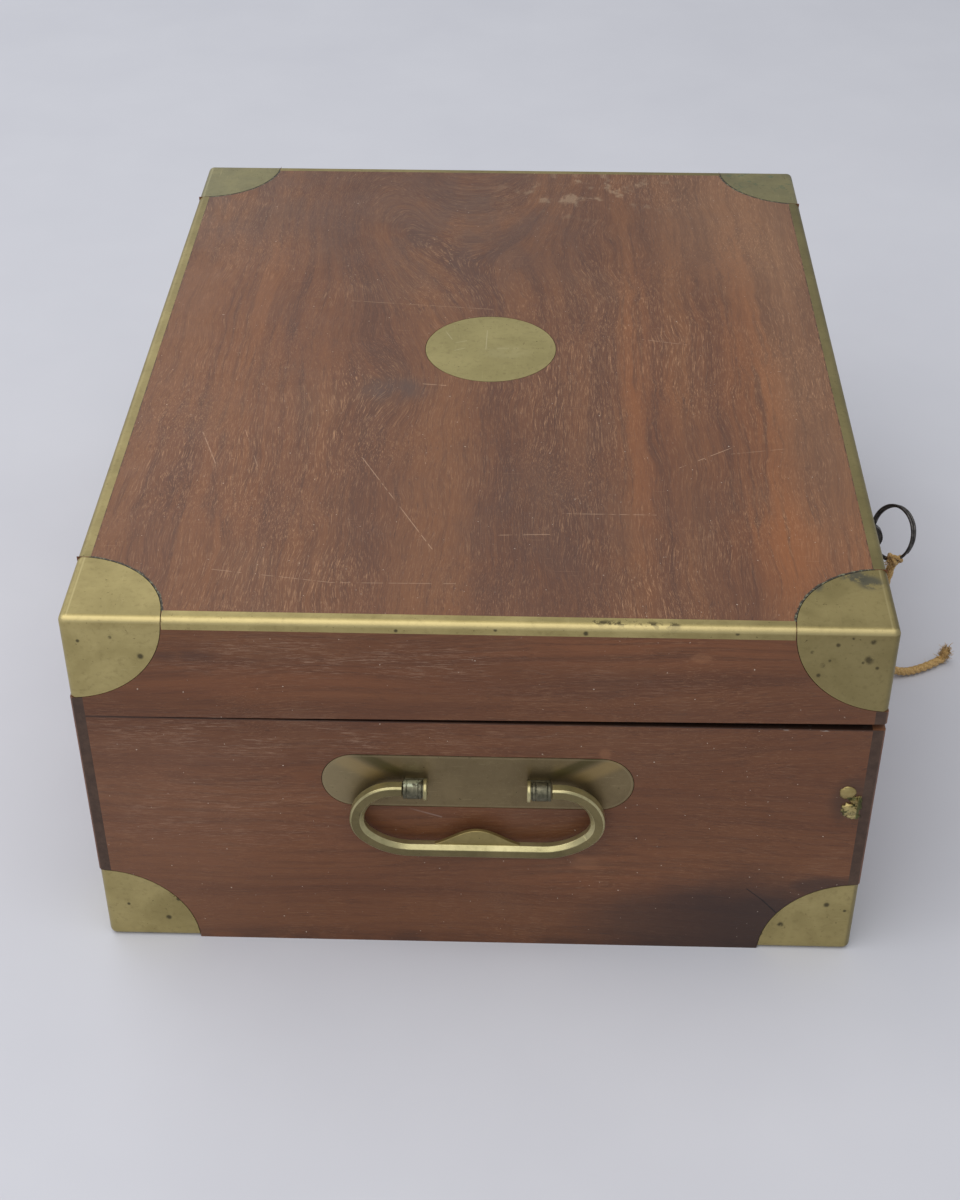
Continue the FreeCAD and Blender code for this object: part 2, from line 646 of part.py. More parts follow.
selvedge_y = d.lock_width + d.selvedge_margin * 2
selvedge_x = d.lock_depth + sheet_in
selvedge_sides = (selvedge_x, selvedge_y, d.selvedge_gauge)
selvedge_corner = (inner_x, selvedge_y / -2, lock_top)
link_x = inner_x + d.lock_depth / 2
slots = []
for index, sign in enumerate((-1, 1)):
    slot_sides = (
        d.link_gauge + d.bolt_gap * 2,
        d.link_leg + d.link_foot + d.bolt_gap * 4,
        d.selvedge_gauge * 3,
    )
    slot_y = d.link_spread / 2 * sign - d.link_leg / 2 - d.bolt_gap * 2
    slot_corner = (link_x - slot_sides[0] / 2, slot_y, lock_top - d.selvedge_gauge)
    slots.append(box("selvedge_slot_" + str(index), slot_sides, slot_corner))
node("lock_selvedge", cut("selvedge", box("selvedge_plate", selvedge_sides, selvedge_corner), *slots))

# the link plate fills the gap between the lid and the selvedge, and its links drop through the slots
link_plate_low = d.base_height + d.joinery_gap
link_plate_height = d.seam_gap - d.joinery_gap + d.link_plate_gauge
link_plate_sides = (selvedge_x, selvedge_y, link_plate_height)
link_plate_corner = (inner_x, selvedge_y / -2, link_plate_low)
links = [box("link_plate_blank", link_plate_sides, link_plate_corner)]
link_bottom = link_plate_low - d.link_drop
foot_height = d.link_leg
for index, sign in enumerate((-1, 1)):
    leg_corner = (link_x - d.link_gauge / 2, d.link_spread / 2 * sign - d.link_leg / 2, link_bottom)
    links.append(box("link_leg_" + str(index), (d.link_gauge, d.link_leg, d.link_drop), leg_corner))
    foot_sides = (d.link_gauge, d.link_leg + d.link_foot, foot_height)
    links.append(box("link_foot_" + str(index), foot_sides, leg_corner))
node("link_plate", fuse("link_plate_whole", *links))

# the bolt slides towards the left, and its two fingers pass over the feet of the links
finger_z = link_bottom + foot_height + d.bolt_gap
bolt_x = link_x - d.link_gauge / 2
bar_z = link_bottom - d.bolt_gap - d.bolt_bar
foot_end = d.link_leg / 2 + d.link_foot
finger_length = d.bolt_throw + d.bolt_gap + d.bolt_bar
post_height = finger_z + d.bolt_bar - bar_z
bolt_parts = []
for index, sign in enumerate((-1, 1)):
    finger_y = d.link_spread / 2 * sign + foot_end + d.bolt_gap
    post_y = finger_y + finger_length - d.bolt_bar
    finger_sides = (d.link_gauge, finger_length, d.bolt_bar)
    bolt_parts.append(box("bolt_finger_" + str(index), finger_sides, (bolt_x, finger_y, finger_z)))
    post_sides = (d.link_gauge, d.bolt_bar, post_height)
    bolt_parts.append(box("bolt_post_" + str(index), post_sides, (bolt_x, post_y, bar_z)))
bar_y = post_y - d.link_spread
bar_sides = (d.link_gauge, d.link_spread, d.bolt_bar)
bolt_parts.append(box("bolt_bar", bar_sides, (bolt_x, bar_y, bar_z)))
node("lock_bolt", fuse("bolt_whole", *bolt_parts))

escutcheon_at = (front_x - d.escutcheon_gauge, 0, lock_level)
escutcheon_disc = rod("escutcheon_disc", d.escutcheon_radius, d.escutcheon_gauge, escutcheon_at, "x")
escutcheon_keyhole = keyhole("escutcheon_keyhole", inner_x, d.wall * 2)
node("escutcheon", cut("escutcheon_plate", escutcheon_disc, escutcheon_keyhole))
sinking_radius = d.escutcheon_radius + d.inlay_gap
escutcheon_sinking = rod("escutcheon_sinking", sinking_radius, d.escutcheon_gauge, escutcheon_at, "x")
base_inlay.append(escutcheon_sinking)

bow_x = front_x + d.key_reach - d.bow_radius
shank_x = inner_x + sheet_in + d.joinery_gap
shank = rod("key_shank", d.key_radius, bow_x - d.bow_hole - shank_x, (shank_x, 0, lock_level), "x")
collar_x = front_x + d.joinery_gap * 3
collar = rod("key_collar", d.key_collar, d.key_radius, (collar_x, 0, lock_level), "x")
bow_disc = rod("key_bow_disc", d.bow_radius, d.bow_gauge, (bow_x, d.bow_gauge / -2, lock_level), "y")
bow_hole = rod("key_bow_hole", d.bow_hole, d.bow_gauge * 2, (bow_x, -d.bow_gauge, lock_level), "y")
bit_sides = (d.bit_length, d.bit_gauge, d.key_radius + d.bit_drop)
bit = box("key_bit", bit_sides, (shank_x, d.bit_gauge / -2, lock_level - bit_sides[2]))
key_solid = fuse("key_solid", shank, collar, bow_disc, bit)
node("key", cut("key_whole", key_solid, bow_hole))

# ---------------------------------------------------------------- hinges
hinge_x = -front_x - d.knuckle_radius - d.knuckle_stand
leaf_edge = -front_x + d.hinge_leaf
third = d.hinge_length / 3


def hinge_leaf(name, middle_y, level):
    """One leaf with its knuckles: the base leaf has the outer two, the lid leaf the middle one."""
    low_z = d.base_height - d.hinge_gauge if level < 0 else d.base_height
    leaf_corner = (-front_x, middle_y - d.hinge_length / 2, low_z)
    parts = [box(name + "_plate", (d.hinge_leaf, d.hinge_length, d.hinge_gauge), leaf_corner)]
    thirds = (-1, 1) if level < 0 else (0,)
    for index, shift in enumerate(thirds):
        knuckle_length = third - d.knuckle_gap
        start_y = middle_y + third * shift - knuckle_length / 2
        knuckle_start = (hinge_x, start_y, d.base_height)
        knuckle_name = name + "_knuckle_" + str(index)
        parts.append(rod(knuckle_name, d.knuckle_radius, knuckle_length, knuckle_start, "y"))
        strap_sides = (d.knuckle_radius + d.knuckle_stand, knuckle_length, d.hinge_gauge)
        parts.append(box(name + "_strap_" + str(index), strap_sides, (hinge_x, start_y, low_z)))
    bore_start = (hinge_x, middle_y - d.hinge_length, d.base_height)
    bore = rod(name + "_bore", d.hinge_pin_radius + d.running_gap, d.hinge_length * 2, bore_start, "y")
    return cut(name, fuse(name + "_solid", *parts), bore, *hinge_screws(name + "_hole", middle_y, level))


def hinge_screws(name, middle_y, level):
    """Three countersunk screws through a leaf: below the rim in the base, above it in the lid."""
    screws = []
    for index, step in enumerate((-1, 0, 1)):
        piece = name + "_" + str(index)
        at = (leaf_edge - d.hinge_leaf / 2, middle_y + d.screw_spread * step, d.base_height)
        profile = (
            (0, 0), (d.screw_head, 0), (d.screw_radius, -d.hinge_gauge),
            (d.screw_radius, -d.screw_length), (0, -d.screw_length),
        )
        turn = UPRIGHT if level < 0 else FreeCAD.Rotation(X_AXIS, 180)
        screws.append(turned(piece, profile, at, turn))
    return screws


hinge_middles = (d.hinge_spread / -2, d.hinge_spread / 2)
for level_name, level in (("base", -1), ("lid", 1)):
    leaves = []
    screws = []
    for index, middle_y in enumerate(hinge_middles):
        leaves.append(hinge_leaf("hinge_" + level_name + "_" + str(index), middle_y, level))
        screws.extend(hinge_screws("screw_" + level_name + "_" + str(index), middle_y, level))
    node("hinge_leaves_" + level_name, group("hinge_leaves_" + level_name + "_pair", *leaves))
    node("hinge_screws_" + level_name, group("hinge_screws_" + level_name + "_set", *screws))
pins = []
for index, middle_y in enumerate(hinge_middles):
    pin_start = (hinge_x, middle_y - d.hinge_length / 2, d.base_height)
    pins.append(rod("hinge_pin_" + str(index), d.hinge_pin_radius, d.hinge_length, pin_start, "y"))
node("hinge_pins", group("hinge_pins_pair", *pins))


def hinge_sinkings(name, level):
    """The wood cut away for the leaves."""
    low_z = d.base_height - d.hinge_gauge if level < 0 else d.base_height
    sinkings = []
    for index, middle_y in enumerate(hinge_middles):
        corner = (-front_x, middle_y - d.hinge_length / 2, low_z)
        sides = (d.hinge_leaf, d.hinge_length, d.hinge_gauge)
        sinkings.append(box(name + "_" + str(index), sides, corner))
    return sinkings


# ---------------------------------------------------------------- boards of the base and the lid
def lapped_plan(side):
    """The plan of a front or back board: full length, thinned to a lap over each end board."""
    flat = d.arris
    plan = (
        (front_x - flat, -end_y), (front_x, -end_y + flat),
        (front_x, end_y - flat), (front_x - flat, end_y),
        (lap_x, end_y), (lap_x, inner_y), (inner_x, inner_y),
        (inner_x, -inner_y), (lap_x, -inner_y), (lap_x, -end_y),
    )
    return tuple((u * side, v * side) for u, v in plan)


base_void = fuse("base_sinkings", *base_inlay)
lid_void = fuse("lid_sinkings", *lid_inlay)


def board_x(name, side, low, height):
    """A front or back board of the base or the lid."""
    return padded(name, "XY", lapped_plan(side), height, (0, 0, low))


def board_y(name, end, low, height):
    """An end board between the laps."""
    low_y = -end_y if end < 0 else inner_y
    return box(name, (lap_x * 2, d.wall, height), (-lap_x, low_y, low))


slope_pin_x = inner_x - d.slope_gap - d.slope_pin_back
slope_pin_z = slope_bottom + d.slope_board / 2
slope_holes = []
for index, end in enumerate((-1, 1)):
    hole_y = -inner_y - d.slope_pin_depth - d.joinery_gap if end < 0 else inner_y - d.wall / 2
    hole_length = d.slope_pin_depth + d.joinery_gap + d.wall / 2
    hole_radius = d.slope_pin_radius + d.running_gap
    hole_start = (slope_pin_x, hole_y, slope_pin_z)
    slope_holes.append(rod("slope_hole_" + str(index), hole_radius, hole_length, hole_start, "y"))

mortise_sides = (d.lock_depth, d.lock_width, d.base_height)
lock_mortise = box("lock_mortise", mortise_sides, (inner_x, lock_y, lock_bottom))
selvedge_sinking = box("selvedge_sinking", selvedge_sides, selvedge_corner)
front_blank = board_x("base_front_blank", 1, 0, d.base_height)
front_keyhole = keyhole("front_keyhole", inner_x, d.wall * 2)
front_voids = (base_void, lock_mortise, selvedge_sinking, front_keyhole)
node("base_front", cut("base_front_cut", front_blank, *front_voids))

back_blank = board_x("base_back_blank", -1, 0, d.base_height)
node("base_back", cut("base_back_cut", back_blank, base_void, *hinge_sinkings("base_hinge_sinking", -1)))

left_blank = board_y("base_left_blank", -1, 0, d.base_height)
node("base_left_end", cut("base_left_cut", left_blank, base_void, slope_holes[0]))

opening = box(
    "drawer_opening",
    (d.opening_width, d.wall * 3, d.opening_height),
    (d.opening_width / -2, inner_y - d.wall, d.bottom_board),
)
right_blank = board_y("base_right_blank", 1, 0, d.base_height)
node("base_right_end", cut("base_right_cut", right_blank, base_void, opening, slope_holes[1]))

bottom = box("bottom_blank", (inner_x * 2, inner_y * 2, d.bottom_board), (-inner_x, -inner_y, 0))
node("base_bottom", cut("base_bottom_cut", bottom, base_void))

# the lid's rails reach the top, and the panel lies in a rebate inside their lips
panel_sides = (lap_x * 2, (end_y - d.end_lap) * 2, d.panel_board)
panel_corner = (-lap_x, -end_y + d.end_lap, d.box_height - d.panel_board)
panel_blank = box("lid_panel_blank", panel_sides, panel_corner)
panel_void = box("lid_panel_void", panel_sides, panel_corner)
node("lid_panel", cut("lid_panel_cut", panel_blank, lid_void))

wedge_plan = ((-inner_x, d.base_height), (front_x, d.base_height), (front_x, d.base_height + d.seam_gap))
seam_wedge = padded("seam_wedge", "XZ", wedge_plan, d.box_length + d.wall, middle=True)
link_sinking = box("link_sinking", link_plate_sides, link_plate_corner)
lid_front_blank = board_x("lid_front_blank", 1, d.base_height, lid_height)
lid_front_voids = (panel_void, lid_void, seam_wedge, link_sinking)
node("lid_front", cut("lid_front_cut", lid_front_blank, *lid_front_voids))
lid_back_blank = board_x("lid_back_blank", -1, d.base_height, lid_height)
lid_back_voids = (panel_void, lid_void, *hinge_sinkings("lid_hinge_sinking", 1))
node("lid_back", cut("lid_back_cut", lid_back_blank, *lid_back_voids))
for end_name, end in (("left", -1), ("right", 1)):
    blank = board_y("lid_" + end_name + "_blank", end, d.base_height, lid_height)
    lid_end = cut("lid_" + end_name + "_cut", blank, panel_void, lid_void, seam_wedge)
    node("lid_" + end_name + "_end", lid_end)
lining_sides = (inner_x * 2, inner_y * 2, d.lining_gauge)
node("lid_lining", box("lining", lining_sides, (-inner_x, -inner_y, lid_inner)))

# ---------------------------------------------------------------- inside the base
pin_y = inner_y - d.pin_setback
pin_hole_start = (d.pin_side, pin_y, dust_bottom - d.dust_board)
pin_hole = rod("pin_hole", d.pin_radius + d.running_gap, d.dust_board * 3, pin_hole_start)
dust = box("dust_blank", (inner_x * 2, inner_y * 2, d.dust_board), (-inner_x, -inner_y, dust_bottom))
node("dust_board", cut("dust_board_cut", dust, pin_hole))
pin_low = dust_bottom + d.pin_tip
pin_stem = dust_top + d.pin_throw + d.joinery_gap - pin_low
pin_profile = (
    (0, 0), (d.pin_radius, 0), (d.pin_radius, pin_stem), (d.pin_head, pin_stem),
    (d.pin_head, pin_stem + d.pin_head_height), (0, pin_stem + d.pin_head_height),
)
node("drawer_pin", turned("locking_pin", pin_profile, (d.pin_side, pin_y, pin_low)))

partition_height = partition_top - dust_top
pen_wall_sides = (d.partition, inner_y * 2, partition_height)
node("pen_partition", box("pen_partition_board", pen_wall_sides, (pen_x, -inner_y, dust_top)))
ink_walls = []
for index, wall_y in enumerate((-well_y, well_y - d.partition)):
    wall_sides = (d.pen_width, d.partition, partition_height)
    ink_walls.append(box("ink_partition_" + str(index), wall_sides, (-inner_x, wall_y, dust_top)))
node("ink_partitions", group("ink_partitions_pair", *ink_walls))

tray_half = well_y - d.partition - d.joinery_gap
tray_low = partition_top - d.tray_height
tray_width = d.pen_width - d.joinery_gap * 2
tray_x = -inner_x + d.joinery_gap
tray_blank = box("tray_blank", (tray_width, tray_half * 2, d.tray_height), (tray_x, -tray_half, tray_low))
scoop_half = tray_half - d.tray_wall
scoop_level = tray_low + d.tray_floor + d.tray_scoop
scoop_start = (tray_x + tray_width / 2, -scoop_half, scoop_level)
scoop = rod("tray_scoop_rod", d.tray_scoop, scoop_half * 2, scoop_start, "y")
node("pen_tray", cut("pen_tray_cut", tray_blank, scoop))
rests = []
for index, end in enumerate((-1, 1)):
    rest_y = -well_y + d.partition if end < 0 else well_y - d.partition - d.tray_rest
    rest_sides = (d.pen_width, d.tray_rest, tray_low - dust_top)
    rests.append(box("tray_rest_" + str(index), rest_sides, (-inner_x, rest_y, dust_top)))
node("pen_tray_rests", group("pen_tray_rests_pair", *rests))


def ink_bottle(end_name, end):
    """A square glass bottle with a round neck, and its cap, loose in a well."""
    name = "ink_bottle_" + end_name
    half = d.bottle_side / 2
    middle_x = -inner_x + d.pen_width / 2
    middle_y = (well_y + d.ink_well / 2) * end
    shoulder = dust_top + d.bottle_height
    body_sides = (d.bottle_side, d.bottle_side, d.bottle_height)
    body = box(name + "_body", body_sides, (middle_x - half, middle_y - half, dust_top))
    neck = rod(name + "_neck", d.neck_radius, d.neck_height, (middle_x, middle_y, shoulder))
    well_height = d.bottle_height - d.bottle_glass * 2
    well_start = (middle_x, middle_y, dust_top + d.bottle_glass)
    well = rod(name + "_well", half - d.bottle_glass, well_height, well_start)
    mouth_height = d.bottle_glass + d.neck_height * 2
    mouth_start = (middle_x, middle_y, shoulder - d.bottle_glass)
    mouth = rod(name + "_mouth", d.neck_radius - d.bottle_glass, mouth_height, mouth_start)
    bottle = cut(name + "_cut", fuse(name + "_solid", body, neck), well, mouth)
    inner = d.neck_radius + d.joinery_gap
    roof = d.neck_height + d.joinery_gap
    profile = (
        (inner, 0), (d.cap_radius, 0), (d.cap_radius, d.cap_height),
        (0, d.cap_height), (0, roof), (inner, roof),
    )
    cap = turned("ink_cap_" + end_name, profile, (middle_x, middle_y, shoulder))
    return bottle, cap


left_bottle, left_cap = ink_bottle("left", -1)
right_bottle, right_cap = ink_bottle("right", 1)
node("ink_bottles", group("ink_bottle_pair", left_bottle, right_bottle))
node("ink_bottle_caps", group("ink_cap_pair", left_cap, right_cap))

# the divider and the ledges leave the slope's front edge free to dip as its back is lifted
well_length = inner_x - well_x
divider_sides = (well_length, d.partition, slope_bottom - d.slope_dip - dust_top)
divider_corner = (well_x, d.partition / -2, dust_top)
node("letter_divider", box("letter_divider_board", divider_sides, divider_corner))
ledge_sides = (slope_pin_x - d.slope_pin_back - well_x, d.ledge, d.ledge)
ledges = []
for index, ledge_y in enumerate((-inner_y, inner_y - d.ledge)):
    ledges.append(box("ledge_" + str(index), ledge_sides, (well_x, ledge_y, slope_bottom - d.ledge)))
node("slope_ledges", group("slope_ledges_pair", *ledges))

slope_back = well_x + d.joinery_gap
slope_front = inner_x - d.slope_gap
slope_half = inner_y - d.joinery_gap
slope_sides = (slope_front - slope_back, slope_half * 2, d.slope_board)
slope_blank = box("slope_blank", slope_sides, (slope_back, -slope_half, slope_bottom))
margin = d.leather_margin
leather_sides = (slope_front - slope_back - margin * 2, slope_half * 2 - margin * 2, d.leather_gauge)
leather_corner = (slope_back + margin, -slope_half + margin, slope_top - d.leather_gauge)
leather_void = box("leather_sinking", leather_sides, leather_corner)
notch_start = (slope_back, 0, slope_bottom - d.slope_board / 2)
notch = rod("finger_notch_rod", d.finger_notch, d.slope_board * 2, notch_start)
slope_pins = []
slope_bores = []
for index, end in enumerate((-1, 1)):
    outer_y = inner_y + d.slope_pin_depth
    low_y = -outer_y if end < 0 else outer_y - d.slope_pin_length
    pin_start = (slope_pin_x, low_y, slope_pin_z)
    slope_pins.append(rod("slope_pin_" + str(index), d.slope_pin_radius, d.slope_pin_length, pin_start, "y"))
    bore_radius = d.slope_pin_radius + d.running_gap
    slope_bores.append(rod("slope_bore_" + str(index), bore_radius, d.slope_pin_length, pin_start, "y"))
node("writing_slope", cut("writing_slope_cut", slope_blank, leather_void, notch, *slope_bores))
node("slope_leather", box("slope_leather_sheet", leather_sides, leather_corner))
node("slope_pins", group("slope_pins_pair", *slope_pins))

# ---------------------------------------------------------------- drawer
drawer_low = d.bottom_board + d.joinery_gap
drawer_half = d.opening_width / 2 - d.drawer_gap
front_height = d.opening_height - d.drawer_gap - d.joinery_gap
side_height = front_height - d.drawer_side_drop
drawer_back_y = end_y - d.drawer_depth
drawer_front_y = end_y - d.drawer_front_board
drawer_front_sides = (drawer_half * 2, d.drawer_front_board, front_height)
drawer_blank = box("drawer_front_blank", drawer_front_sides, (-drawer_half, drawer_front_y, drawer_low))
knob_level = drawer_low + front_height / 2
spigot_hole_start = (0, end_y - d.knob_spigot_length - d.joinery_gap, knob_level)
spigot_hole_length = d.knob_spigot_length + d.wall
spigot_hole = rod("spigot_hole", d.knob_spigot + d.running_gap, spigot_hole_length, spigot_hole_start, "y")
catch_depth = d.pin_throw + d.joinery_gap * 2
catch_low = pin_low - catch_depth
catch_radius = d.pin_radius + d.joinery_gap
pin_catch = rod("pin_catch", catch_radius, d.opening_height, (d.pin_side, pin_y, catch_low))
node("drawer_front", cut("drawer_front_cut", drawer_blank, spigot_hole, pin_catch))
drawer_sides = []
for index, side_x in enumerate((-drawer_half, drawer_half - d.drawer_board)):
    side_sides = (d.drawer_board, d.drawer_depth - d.drawer_front_board, side_height)
    drawer_sides.append(box("drawer_side_" + str(index), side_sides, (side_x, drawer_back_y, drawer_low)))
node("drawer_sides", group("drawer_side_pair", *drawer_sides))
tail_half = drawer_half - d.drawer_board
tail_sides = (tail_half * 2, d.drawer_board, side_height)
node("drawer_tail", box("drawer_tail_board", tail_sides, (-tail_half, drawer_back_y, drawer_low)))
floor_sides = (tail_half * 2, d.drawer_depth - d.drawer_front_board - d.drawer_board, d.drawer_floor)
floor_corner = (-tail_half, drawer_back_y + d.drawer_board, drawer_low)
node("drawer_bottom", box("drawer_floor_board", floor_sides, floor_corner))

neck_top = d.knob_stand - d.knob_head
knob_profile = (
    (0, -d.knob_spigot_length), (d.knob_spigot, -d.knob_spigot_length), (d.knob_spigot, 0),
    (d.knob_rose, 0), (d.knob_rose, d.knob_rose_gauge),
    (d.knob_neck, d.knob_rose_gauge + d.knob_neck / 2), (d.knob_neck, neck_top),
    (d.knob_radius, neck_top + d.knob_head / 4), (d.knob_radius, d.knob_stand - d.knob_head / 4),
    (d.knob_crown, d.knob_stand), (0, d.knob_stand),
)
node("drawer_knob", turned("drawer_knob_body", knob_profile, (0, end_y, knob_level), LIE_ALONG["y"]))

guide_height = dust_bottom - d.bottom_board
stop_y = drawer_back_y - d.drawer_gap
guides = []
for index, guide_x in enumerate((d.opening_width / -2 - d.guide_board, d.opening_width / 2)):
    guide_sides = (d.guide_board, inner_y - stop_y, guide_height)
    guides.append(box("drawer_guide_" + str(index), guide_sides, (guide_x, stop_y, d.bottom_board)))
node("drawer_guides", group("drawer_guide_pair", *guides))
stop_sides = (d.opening_width + d.guide_board * 2, d.guide_board, guide_height)
stop_corner = (d.opening_width / -2 - d.guide_board, stop_y - d.guide_board, d.bottom_board)
node("drawer_stop", box("drawer_stop_board", stop_sides, stop_corner))

# ---------------------------------------------------------------- wire ring and twine
# the ring passes through the key's bow on the key's axis, so the key turns without moving it
ring_turned = math.radians(d.ring_turn.number)
ring_tilted = math.radians(d.ring_tilt.number)
ring_along = FreeCAD.Vector(math.cos(ring_turned), -math.sin(ring_turned), 0)
ring_out = Z_AXIS.cross(ring_along)
ring_up = Z_AXIS * math.cos(ring_tilted) + ring_out * math.sin(ring_tilted)
ring_normal = ring_along.cross(ring_up)
ring_rotation = FreeCAD.Rotation(ring_along, ring_up, ring_normal, "XYZ")


def from_ring_centre(angle):
    """The direction from the ring's centre to a place on it."""
    turned_by = math.radians(angle.number)
    return ring_along * math.cos(turned_by) + ring_up * math.sin(turned_by)


passing = from_ring_centre(d.ring_start)
ring_centre = (
    bow_x + d.bow_hole - d.ring_pass - d.ring_radius * passing.x,
    d.ring_radius * -passing.y,
    lock_level - d.ring_radius * passing.z,
)
WIRE_OVERLAP = 0.92
turns = []
for index, sign in enumerate((-1, 1)):
    wire_turn = doc.addObject("Part::Torus", "ring_turn_" + str(index))
    bind(wire_turn, Radius1=d.ring_radius, Radius2=d.ring_wire)
    shift = d.ring_wire * (WIRE_OVERLAP * sign)
    at = tuple(c + shift * n for c, n in zip(ring_centre, ring_normal))
    turns.append(place(wire_turn, at, ring_rotation))
node("key_ring", fuse("key_ring_wire", *turns))

knot_centre = tuple(c + d.ring_radius * n for c, n in zip(ring_centre, from_ring_centre(d.knot_angle)))
knot = doc.addObject("Part::Sphere", "knot_ball")
bind(knot, Radius=d.knot_radius)
node("twine_knot", place(knot, knot_centre))

# the twine hangs from the knot and its tail lies on what the box stands on
TWINE_ROUTE = (
    (172.4, -13.0, 60.6),
    (169.8, -13.4, 46.0),
    (169.8, -14.6, 26.0),
    (172.8, -16.2, 9.5),
    (182.0, -15.8, 2.3),
    (194.3, -11.8, 2.3),
    (203.4, -4.9, 2.3),
)
ARC_SHARE = 0.45


def tube(route, radius):
    """A round tube along straight runs joined by the largest tangent arcs that the runs allow."""
    points = [FreeCAD.Vector(*p) for p in route]
    edges = []
    start = points[0]
    for before, corner, after in zip(points, points[1:], points[2:]):
        run_in = corner - before
        run_out = after - corner
        half_turn = run_in.getAngle(run_out) / 2
        cut_back = ARC_SHARE * min(run_in.Length, run_out.Length)
        bend_radius = cut_back / math.tan(half_turn)
        print("twine bend radius", round(bend_radius, 2))
        way_in = FreeCAD.Vector(run_in).normalize()
        way_out = FreeCAD.Vector(run_out).normalize()
        arc_start = corner - way_in * cut_back
        arc_end = corner + way_out * cut_back
        inward = (way_out - way_in).normalize()
        crown = bend_radius / math.cos(half_turn) - bend_radius
        edges.append(Part.makeLine(start, arc_start))
        edges.append(Part.Arc(arc_start, corner + inward * crown, arc_end).toShape())
        start = arc_end
    edges.append(Part.makeLine(start, points[-1]))
    path = Part.Wire(edges)
    section = Part.Wire(Part.makeCircle(radius, points[0], points[1] - points[0]))
    solid = path.makePipeShell([section], True, True)
    ratio = solid.Volume / (math.pi * radius**2 * path.Length)
    print("twine length", round(path.Length, 2), "volume against section times length", round(ratio, 6))
    return solid


twine = doc.addObject("Part::Feature", "twine_tube")
twine.Shape = tube(TWINE_ROUTE, float(sheet.get("twine_radius")))
twine.Placement = FreeCAD.Placement()
node("twine", twine)

# ---------------------------------------------------------------- checks and export
doc.recompute()
for feature in doc.Objects:
    bad = [state for state in feature.State if state in ("Invalid", "Error")]
    if bad:
        raise RuntimeError(feature.Name + " is " + ", ".join(bad))
for name, feature in nodes.items():
    if feature.Shape.isNull() or not feature.Shape.isValid():
        raise RuntimeError(name + " has no valid shape")
    if not feature.Shape.Solids:
        raise RuntimeError(name + " has no solid")
os.makedirs("parts", exist_ok=True)
for name, feature in nodes.items():
    feature.Shape.exportStep(os.path.join("parts", name + ".step"))
print(len(nodes), "nodes written")
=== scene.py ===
"""The looks of a brass-bound mahogany letter writing box with a side drawer."""

import math
import random

import bmesh
import bpy
from mathutils import Matrix, Vector


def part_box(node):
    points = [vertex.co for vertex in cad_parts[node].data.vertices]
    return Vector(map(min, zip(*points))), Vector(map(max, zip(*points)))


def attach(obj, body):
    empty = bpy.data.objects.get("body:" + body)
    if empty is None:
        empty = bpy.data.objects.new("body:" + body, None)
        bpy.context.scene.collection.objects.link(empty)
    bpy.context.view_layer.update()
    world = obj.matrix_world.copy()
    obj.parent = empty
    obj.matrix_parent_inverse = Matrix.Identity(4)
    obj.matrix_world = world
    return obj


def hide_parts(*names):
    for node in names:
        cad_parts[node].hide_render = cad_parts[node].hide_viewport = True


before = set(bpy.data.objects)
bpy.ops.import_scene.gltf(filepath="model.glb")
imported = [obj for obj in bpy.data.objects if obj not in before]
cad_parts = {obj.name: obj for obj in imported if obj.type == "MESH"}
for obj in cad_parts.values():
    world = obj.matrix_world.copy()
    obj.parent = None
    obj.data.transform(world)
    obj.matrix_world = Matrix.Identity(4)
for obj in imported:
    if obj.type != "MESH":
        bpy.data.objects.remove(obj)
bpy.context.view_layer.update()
MM = 0.001


# ---------------------------------------------------------------- places on the box, in millimetres
def box_of(node):
    """The low and the high corner of a node's box."""
    return [[round(place / MM, 1) for place in corner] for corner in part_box(node)]


HALF_DEPTH, HALF_LENGTH, _ = box_of("base_corner_brasses")[1]
PLATE_LOW, PLATE_HIGH = box_of("left_handle_plate")
HANDLE_HEIGHT = (PLATE_LOW[2] + PLATE_HIGH[2]) / 2
# Each pair below says where something starts to show and where it shows in full.
ON_TOP = (152.2, 152.4)
ON_LEFT_BRASS = (-178.3, -178.45)
LEFT_WOOD = (-169.0, -170.0)
LEFT_METAL = (-170.0, -176.0)
OVER_CORNERS = (143.0, 145.0)
BETWEEN_CORNERS = (144.4, 143.6)
CORNER_EDGE = (34.9, 34.4)

# ---------------------------------------------------------------- camera and lamps
SENSOR_WIDTH = 36.0
LENS = 56.556
NEAREST_SEEN = 0.01
CAMERA_PLACE = (0.01561, -0.66940, 0.53523)
CAMERA_DIP = 37.174
CAMERA_ROLL = 0.06
CAMERA_SWING = 1.663
LAMPS_FACE = (0, 0, 0.1)
SOFTBOXES = (
    ("overhead_softbox", (-0.5, -0.62, 1.85), (2.8, 2.8), 45.0, (1.0, 0.985, 0.96)),
    ("back_softbox", (-1.2, 1.7, 1.2), (1.6, 1.0), 7.0, (0.93, 0.96, 1.0)),
)
SKY_TINT = (0.93, 0.96, 1.0, 1.0)
SKY_STRENGTH = 0.45

camera = bpy.data.cameras.new("camera")
camera.sensor_width = SENSOR_WIDTH
camera.lens = LENS
camera.clip_start = NEAREST_SEEN
camera_stand = bpy.data.objects.new("camera", camera)
camera_stand.location = CAMERA_PLACE
camera_turns = (90 - CAMERA_DIP, CAMERA_ROLL, CAMERA_SWING)
camera_stand.rotation_euler = [math.radians(turn) for turn in camera_turns]
bpy.context.collection.objects.link(camera_stand)
bpy.context.scene.camera = camera_stand
bpy.context.scene.view_settings.view_transform = "Standard"


def colour(red, green, blue):
    """A colour from its usual 0 to 255 numbers."""
    linear = []
    for part in (red / 255, green / 255, blue / 255):
        linear.append(part / 12.92 if part <= 0.04045 else ((part + 0.055) / 1.055) ** 2.4)
    return (*linear, 1.0)


